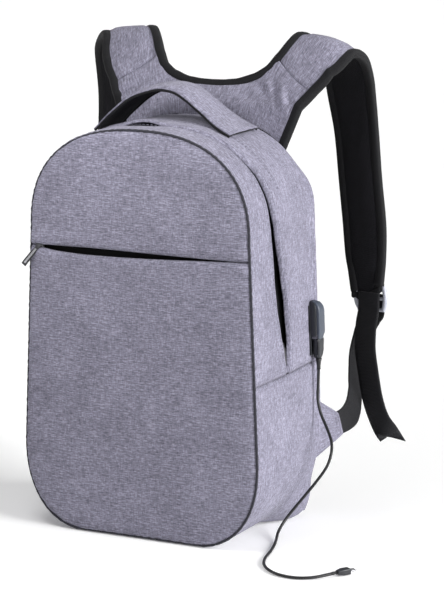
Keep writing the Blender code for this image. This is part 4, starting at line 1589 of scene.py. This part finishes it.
def yoke_layer(side, looks, thickness):
    """One face of the yoke: from its foot up to the neck's edge and the straps' slanted seams."""
    rows, half_columns = 40, 30
    grid = []
    for i in range(rows + 1):
        row = []
        for j in range(-half_columns, half_columns + 1):
            c = abs(j) / half_columns
            sign = 1 if j >= 0 else -1
            if c <= NECK_SHARE:
                top = neck_row(c)
            else:
                top = seam_row((c - NECK_SHARE) / (1 - NECK_SHARE))
            t = YOKE_FOOT + (top - YOKE_FOOT) * i / rows
            y, z, _, outer, out = foot_station(t)
            x = outer * c
            before = foot_station(t - 0.1)
            gap = (top - t) * math.hypot(y - before[0], z - before[1]) * 10
            hem = ease((gap - 0.0075) / 0.006) if c < NECK_SHARE else 1.0
            hem *= ease((outer - x - 0.0060) / 0.006)
            raised = (yoke_height(c, side) - 0.0006 * side) * hem
            place = Vector((sign * x, y, z)) + out * (0.0006 * side + raised)
            crease = 0.0
            if side > 0:
                for cx, ct, dx, dt, depth in CREASES:
                    along = (sign * x - cx) * dx + (place.z - ct) * dt
                    off = (sign * x - cx) * dt - (place.z - ct) * dx
                    crease += depth * math.exp(-((off / 0.0032) ** 2) - (along / 0.013) ** 2)
                crease += 0.0011 * soft(Vector((sign * x, place.z, 0)), 38.0, 6.0)
                crease *= hem
            edge = math.exp(-(((top - t) / 0.22) ** 2)) * 0.0012 if c > NECK_SHARE else 0.0
            row.append(place + out * (crease - side * edge))
        grid.append(row)
    name = "yoke_cloth" if side > 0 else "yoke_mesh"
    return add_grid(name, grid, looks, thickness, flip=side > 0)


# Creases of the yoke: (x, z, direction in x, direction in z, depth), each a short valley or ridge.
CREASES = [
    (0.083, 0.462, 0.45, -0.89, -0.0044),
    (0.089, 0.463, 0.40, -0.92, 0.0034),
    (0.066, 0.466, 0.70, -0.71, -0.0026),
    (0.072, 0.470, 0.75, -0.66, 0.0022),
    (0.050, 0.460, 0.90, -0.42, -0.0022),
    (0.098, 0.458, 0.30, -0.95, -0.0022),
    (-0.100, 0.459, 0.80, 0.60, -0.0026),
    (-0.106, 0.463, 0.80, 0.60, 0.0020),
    (-0.088, 0.462, 0.70, 0.71, -0.0018),
    (-0.070, 0.470, 0.60, 0.80, 0.0015),
]


def binding(name, path, insides, outs):
    """Tape folded over an edge: insides point from the edge into the cloth, outs off its face."""
    rings = []
    for place, into, out in zip(path, insides, outs):
        ring = []
        for turn in turns(16):
            across, off = superellipse(turn, 3.2)
            ring.append(place + into * (BINDING_WIDTH / 2 * (1 - across) - 0.0012)
                        + out * (BINDING_DEPTH / 2 * off - 0.0010))
        rings.append(ring)
    return add_loft(name, rings, ["binding_tape"])


def edge_frames(path, outs, towards):
    """Directions from each point of an edge into the cloth, given a rough direction."""
    insides = []
    for i, (out, rough) in enumerate(zip(outs, towards)):
        run = tangent(path, i)
        into = out.cross(run)
        if into.dot(rough) < 0:
            into = -into
        insides.append(into.normalized())
    return insides


def build_bindings():
    """Black tape round the neck and the inner edges of both straps, and down each outer edge."""
    made = []
    inner, outs = [], []
    for k in range(150):
        t = STRAP_END - 0.05 - (STRAP_END - 0.05 - SEAM_INNER) * k / 150
        y, z, inside, _, out = station(t)
        inner.append(Vector((inside, y, z + end_sag(t, 0.0))))
        outs.append(out)
    for k in range(46):
        c = NECK_SHARE * (1 - k / 45)
        t = neck_row(c)
        y, z, _, outer, out = station(t)
        inner.append(Vector((outer * c, y, z)))
        outs.append(out)
    whole = inner + [hung(p, -1) for p in reversed(inner[:-1])]
    all_outs = outs + list(reversed(outs[:-1]))
    towards = []
    for place in whole:
        sideways = 1 if place.x >= 0 else -1
        flat = max(0.0, 1 - abs(place.x) / 0.06)
        towards.append(Vector((sideways * (1 - flat), -0.5 * flat, -0.8 * flat)))
    whole = soften(whole, 3)
    made.append(("neck_binding", whole, all_outs, towards))
    for sign in (1, -1):
        path, normals, rough = [], [], []
        for k in range(200):
            t = YOKE_FOOT + (STRAP_END - 0.05 - YOKE_FOOT) * k / 199
            y, z, _, outer, out = foot_station(t)
            drop = end_sag(t, 1.0) - droop(t, 1.0, sign)
            path.append(hung((outer, y, z + drop), sign))
            normals.append(out)
            rough.append(Vector((-sign, 0, 0)))
        made.append(("outer_binding_" + ("right" if sign > 0 else "left"), path, normals, rough))
    for name, path, normals, rough in made:
        thing = binding(name, path, edge_frames(path, normals, rough), normals)
        blend_harness(thing)


def soften(points, rounds):
    """The same line with its small corners rounded off; its ends stay."""
    for _ in range(rounds):
        middle = [(a + 2 * b + c) / 4 for a, b, c in zip(points, points[1:], points[2:])]
        points = [points[0], *middle, points[-1]]
    return points


def blend_harness(thing):
    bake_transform(thing)


def build_harness():
    cover = yoke_layer(1, ["heather_fabric"], 0.0012)
    mesh = yoke_layer(-1, ["black_mesh"], 0.0012)
    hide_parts("yoke_cover")
    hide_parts("yoke_lining")
    pieces = [(cover, "heather_fabric"), (mesh, "black_mesh")]
    for sign, side_name in ((1, "right"), (-1, "left")):
        for side, node_name, finish in ((1, "strap_cover_", "heather_fabric"),
                                        (-1, "strap_lining_", "black_mesh")):
            thing = strap_layer(sign, side, [finish], 0.0012)
            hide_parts(node_name + side_name)
            pieces.append((thing, finish))
        path, normals = [], []
        for k in range(31):
            s = 0.04 + 0.92 * k / 30
            t = seam_row(s) + 0.16
            c = inner_share(t)
            _, _, _, outer, out = station(t)
            x = outer * (c + (1 - c) * s)
            path.append(harness_place(t, x, strap_height(t, s, 1) + 0.0002, sign))
            normals.append(out)
        pieces.append((stitches("strap_seam_stitches_" + side_name, path, normals), "heather_fabric"))
        tip = []
        for k in range(13):
            s = k / 12
            y, z, inner, outer, _ = station(STRAP_END)
            tip.append(hung((inner + (outer - inner) * s, y, z + strap_end_drop(s)), sign))
        end = [p - Vector((0, 0, 0.0005)) for p in tip]
        rings = []
        for place in end:
            round_edge = [superellipse(a, 3) for a in turns(14)]
            rings.append([place + Vector((0, 0.0044 * off - 0.0010, 0.0050 * along))
                          for along, off in round_edge])
        pieces.append((add_loft("strap_end_binding_" + side_name, rings, ["binding_tape"]), "black_webbing"))
    for thing, finish in pieces:
        blend_harness(thing)


# ---------------------------------------------------------------- webbing, locks and wings


def ribbon(name, stations, sign, trim=None):
    """Flat webbing through its stations, slightly dished, with firm selvedges."""
    mirror = Vector((sign, 1, 1))
    places = smooth([hung(p, sign) for p, _ in stations], 8)
    widths = smooth([Vector(a) * mirror for _, a in stations], 8)
    grid = []
    for i, (place, across) in enumerate(zip(places, widths)):
        run = tangent(places, i)
        across = (across - run * across.dot(run)).normalized()
        out = run.cross(across)
        row = []
        for j in range(11):
            s = j / 5 - 1
            edge = abs(s) ** 6 * 0.0003
            sag = 0.0006 * (1 - s * s) + 0.0003 * soft(place + across * s * 0.01, 60.0)
            row.append(place + across * s * WEBBING_WIDTH / 2 + out * (sag - edge))
        grid.append(row)
    if trim:
        for j, place in enumerate(grid[-1]):
            place += tangent(places, len(places) - 1) * trim * (j / 10 - 0.5)
    return thicken(add_grid(name, grid, ["black_webbing"]), WEBBING_THICKNESS, 0.0)


def build_lock(sign, side_name):
    """Ladder lock: a bowed frame with three bars, the middle one bowed towards the front."""
    parts = []
    for edge in (-1, 1):
        path = []
        for k in range(15):
            a = -1 + 2 * k / 14
            path.append(LOCK_CENTRE + Vector((edge * (0.0140 + 0.0036 * (1 - a * a)), -0.0022 * (1 - a * a),
                                              0.0135 * a)))
        parts.append(add_tube("rail", path, lambda t: 0.0021 + 0.0008 * lump(t), ["grey_plastic"], sides=12))
    for height, size, push in ((0.0128, 0.0017, 0.0), (0.0, 0.0018, -0.0012), (-0.0130, 0.0020, 0.0006)):
        path = [LOCK_CENTRE + Vector((x, push * (1 - (x / 0.016) ** 2), height))
                for x in (-0.0165 + 0.033 * k / 16 for k in range(17))]
        parts.append(add_tube("bar", path, size, ["grey_plastic"], sides=10))
    lock = join("ladder_lock_frame_" + side_name, parts)
    if sign < 0:
        shift = hung(LOCK_CENTRE, sign).x + LOCK_CENTRE.x
        for vert in lock.data.vertices:
            vert.co.x = shift - vert.co.x
        lock.data.flip_normals()
    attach(lock, "ladder_lock_" + side_name)
    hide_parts("ladder_lock_" + side_name)


def build_wing(sign, side_name):
    """Sewn triangle that carries the lower webbing: two cloths over a thin core, edges turned in."""
    corners = [Vector((sign * x, y, z)) for x, y, z in WING_CORNERS]
    top_root, top_tip, low_tip, low_root = corners
    out = Vector((sign, 0, 0))
    rings = []
    rows = 24
    for i in range(rows + 1):
        share = i / rows
        top, low = top_root.lerp(top_tip, share), low_root.lerp(low_tip, share)
        ring = []
        for turn in turns(24):
            across, off = superellipse(turn, 4.0)
            thick = 0.0017 - 0.0006 * share
            place = low.lerp(top, (across + 1) / 2)
            ripple = 0.0006 * soft(place, 70.0)
            ring.append(place + out * (off * thick + ripple - 0.0010))
        rings.append(ring)
    wing = add_loft("wing_cloth_" + side_name, rings, ["heather_fabric"])
    rows_made = []
    for share in (0.84, 0.93):
        top, low = top_root.lerp(top_tip, share), low_root.lerp(low_tip, share)
        for face in (1, -1):
            line = [low.lerp(top, 0.08 + 0.84 * k / 10) + out * (face * 0.0014 - 0.0010) for k in range(11)]
            rows_made.append(stitches("row", line, [out * face] * 11))
    top_edge, low_edge = (top_root, top_tip), (low_root, low_tip)
    for (near, far), (other_near, other_far) in ((top_edge, low_edge), (low_edge, top_edge)):
        line = [near.lerp(far, s).lerp(other_near.lerp(other_far, s), 0.10) + out * 0.0004
                for s in (0.05 + 0.9 * k / 14 for k in range(15))]
        rows_made.append(stitches("row", line, [out] * 15))
    sewing = join("wing_stitches_" + side_name, rows_made)
    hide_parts("wing_" + side_name)
    for thing in (wing, sewing):
        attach(thing, "bag")


def build_adjusters():
    for sign, side_name in ((1, "right"), (-1, "left")):
        build_lock(sign, side_name)
        build_wing(sign, side_name)
        tail = ribbon("webbing_end_" + side_name, WEBBING_TAIL, sign, trim=0.026)
        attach(tail, "ladder_lock_" + side_name)
        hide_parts("webbing_tail_" + side_name)
        lower = ribbon("lower_strap_" + side_name, LOWER_WEBBING, sign)
        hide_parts("lower_webbing_" + side_name)
        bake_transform(lower)
        loop_top = [hung((LOCK_CENTRE.x, y, z), sign) for y, z in (
            (0.2005, 0.2465), (0.2052, 0.2440), (0.2055, 0.2390), (0.2010, 0.2350),
            (0.1968, 0.2385), (0.1962, 0.2440), (0.1990, 0.2470))]
        line = smooth(loop_top, 5)
        grid = [[p + Vector((s * 0.0125, 0, 0)) for s in (-1, -0.5, 0, 0.5, 1)] for p in line]
        keeper = thicken(add_grid("lock_keeper_" + side_name, grid, ["black_webbing"]), 0.0012, 0.0)
        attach(keeper, "harness")


# ---------------------------------------------------------------- back of the bag


def cushion(name, centre, width, tall, thick, finish, power=4.5, channels=()):
    """A crowned pad on the wearer's side: sides pulled in between the corners, sewn channels across."""
    columns, rows = 28, 48
    points, cloth = [], []
    for face in (1, 0):
        for i in range(rows + 1):
            v = 2 * i / rows - 1
            for j in range(columns + 1):
                u = 2 * j / columns - 1
                size = max(abs(u), abs(v), 1e-6)
                turn = math.atan2(v, u)
                cx, cz = superellipse(turn, power)
                square = 1 / max(abs(math.cos(turn)), abs(math.sin(turn)))
                disc = Vector((math.cos(turn), math.sin(turn))) * square
                ex = cx * size * 0.65 + disc.x * size * 0.35
                ez = cz * size * 0.65 + disc.y * size * 0.35
                pull = 1 - 0.018 * (1 - v * v) * size
                x = centre.x + ex * width / 2 * pull
                z = centre.z + ez * tall / 2
                crown = max(1 - size**5, 0.0) ** 0.5
                deep = 0.0
                for level in channels:
                    deep += math.exp(-(((z - level) / 0.0042) ** 2))
                height = thick * (0.25 + 0.75 * crown) * (1 - 0.55 * min(deep, 1.0) * crown)
                height += 0.0005 * soft(Vector((x, 0, z)), 50.0) * crown
                points.append(Vector((x, centre.y + (height if face else 0.0), z)))
                cloth.append((x, z))
    count = (rows + 1) * (columns + 1)
    faces = grid_faces(rows + 1, columns + 1, flip=True)
    faces += grid_faces(rows + 1, columns + 1, start=count)
    border = [(0, j) for j in range(columns)]
    border += [(i, columns) for i in range(rows)]
    border += [(rows, columns - j) for j in range(columns)]
    border += [(rows - i, 0) for i in range(rows)]
    ids = [i * (columns + 1) + j for i, j in border]
    for a, b in zip(ids, ids[1:] + ids[:1]):
        faces.append((a, b, b + count, a + count))
    return face_outwards(add_mesh(name, points, faces, [finish], cloth))


def build_back():
    """Back panel, its two mesh pads, the lumbar pad and the yoke's foot."""
    grid, cloth = [], []
    rows = 110
    for i in range(rows + 1):
        z = 0.0012 + (HEIGHT - 0.0035) * i / rows
        half = max(half_width_at(min(z, HEIGHT - 0.0008)) - 0.0050, 0.012)
        row = []
        for j in range(41):
            s = 2 * j / 40 - 1
            x = half * s
            edge = min(half * (1 - abs(s)), z, HEIGHT - z)
            belly = 0.0022 * (1 - math.exp(-edge / 0.010)) + RIM * rim(z) * math.exp(-edge / 0.007)
            row.append(Vector((x, BACK + 0.0016 + belly + 0.0004 * soft(Vector((x, 0, z)), 40.0), z)))
            cloth.append((x, z))
        grid.append(row)
    panel = add_grid("back_cloth", grid, ["black_mesh"], 0.0016, cloth=cloth)
    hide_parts("back_panel")
    line = []
    for run in even_runs(0, 2 * HALF_RUN, 0.004)[:-1]:
        x, z, normal = outline_at(run)
        place = Vector((x, back_edge(run) - 0.0002, z)) - normal * (0.0062 - 0.0030 * rim(z))
        place.z = max(place.z, 0.0026)
        line.append(place)
    seam = ring_cord("back_seam_binding", line, "binding_tape", lambda i: (0.0020, 0.0022))
    pieces = [(panel, "black_mesh"), (seam, "black_webbing")]
    for side_name in ("left", "right"):
        low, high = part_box("back_pad_" + side_name)
        centre = (low + high) / 2
        centre.y = BACK + PAD_SEAT
        tall = high.z - low.z
        channels = [low.z + tall * share for share in (0.25, 0.5, 0.75)]
        pad = cushion("back_cushion_" + side_name, centre, high.x - low.x, tall, high.y - centre.y,
                      "black_mesh", channels=channels)
        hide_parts("back_pad_" + side_name)
        pieces.append((pad, "black_mesh"))
    low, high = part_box("lumbar_pad")
    centre = (low + high) / 2
    centre.y = BACK + PAD_SEAT
    lumbar = cushion("lumbar_cushion", centre, high.x - low.x, high.z - low.z, high.y - centre.y + 0.002,
                     "heather_fabric", power=6.0)
    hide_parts("lumbar_pad")
    pieces.append((lumbar, "heather_fabric"))
    foot = []
    for i in range(13):
        share = i / 12
        row = []
        for j in range(49):
            s = 2 * j / 48 - 1
            x = 0.094 * s
            low_z = max(arch_z(x) - 0.026, 0.409)
            top_z = 0.4478
            z = low_z + (top_z - low_z) * share
            y = 0.0762 + 0.0040 * share
            row.append(Vector((x, y, z)))
        foot.append(row)
    yoke_foot = add_grid("yoke_foot_cloth", foot, ["heather_fabric"], 0.0022)
    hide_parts("yoke_base")
    pieces.append((yoke_foot, "heather_fabric"))
    for thing, finish in pieces:
        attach(thing, "bag")


# ---------------------------------------------------------------- charging port


def port_matrix():
    share = (PORT_LOW - CORNER_TOP) / (ARCH_SPRING - CORNER_TOP)
    x = HALF_WIDTH + (ARCH_HALF - HALF_WIDTH) * share
    lean = math.atan2(HALF_WIDTH - ARCH_HALF, ARCH_SPRING - CORNER_TOP)
    return Matrix.Translation((x, PORT_Y, PORT_LOW)) @ Matrix.Rotation(-lean, 4, "Y")


def build_port():
    """Fin-shaped port housing: a body coloured black, which is painted shade of the housing's front face,
    with a paler outer cap, its top leaning back in a curve.
    """
    place = port_matrix()

    def ring_at(z, grow_y, x_low, x_high):
        ring = []
        for turn in turns(28):
            across, off = superellipse(turn, 4.2)
            x = (x_low + x_high) / 2 + (x_high - x_low) / 2 * across
            ring.append(place @ Vector((x, PORT_WIDTH / 2 * grow_y * off, z)))
        return ring

    body_rings, cap_rings = [], []
    steps = 26
    for i in range(steps + 1):
        share = i / steps
        z = PORT_TALL * share
        top = max(1 - max((share - 0.70) / 0.30, 0) ** 2.2, 0.0) ** 0.5
        foot = 1 - 0.22 * (1 - ease(share / 0.16))
        stand = PORT_STAND * (0.25 + 0.75 * top) * (0.86 + 0.14 * ease(share / 0.2))
        narrow = (0.45 + 0.55 * top) * foot
        body_rings.append(ring_at(z, narrow, 0.0006, stand * 0.80 + 0.0006))
        cap_rings.append(ring_at(z, narrow * 0.90, stand * 0.70, stand + 0.0010))
    # black body: painted shade of the housing's front face, beside the paler cap
    body = add_loft("port_body", body_rings, ["black_plastic"])
    cap = add_loft("port_cap", cap_rings, ["port_plastic"])
    flange = rounded_box("flange", (0.0020, PORT_WIDTH, PORT_TALL + 0.0130),
                         place @ Matrix.Translation((0.0014, 0, PORT_TALL / 2 - 0.0112)), "black_plastic",
                         0.0008)
    body = join("port_body", [body, flange])
    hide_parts("usb_housing")
    for thing in (body, cap):
        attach(thing, "bag")


CARRIED_OVER = {
    "usb_socket": "dark_zinc",
    "port_neck": "black_plastic",
    "port_clamp": "black_plastic",
    "inner_lead": "cable_rubber",
    "inner_lead_plug": "black_plastic",
    "usb_plug_shell": "plug_steel",
    "bottom_board": "board",
}


def finish_hard_parts():
    for name, finish in CARRIED_OVER.items():
        give_look(name, finish)


build_camera()
build_cord()
build_stage()
SIDE_SEAM = run_at_height(SEAM_Z)
build_base(SIDE_SEAM)
build_upper_bands(SIDE_SEAM)
build_front()
build_inside()
build_main_zip(SIDE_SEAM)
build_pocket_zip()
build_seams(SIDE_SEAM)
build_handle()
build_harness()
build_bindings()
build_adjusters()
build_back()
build_port()
finish_hard_parts()
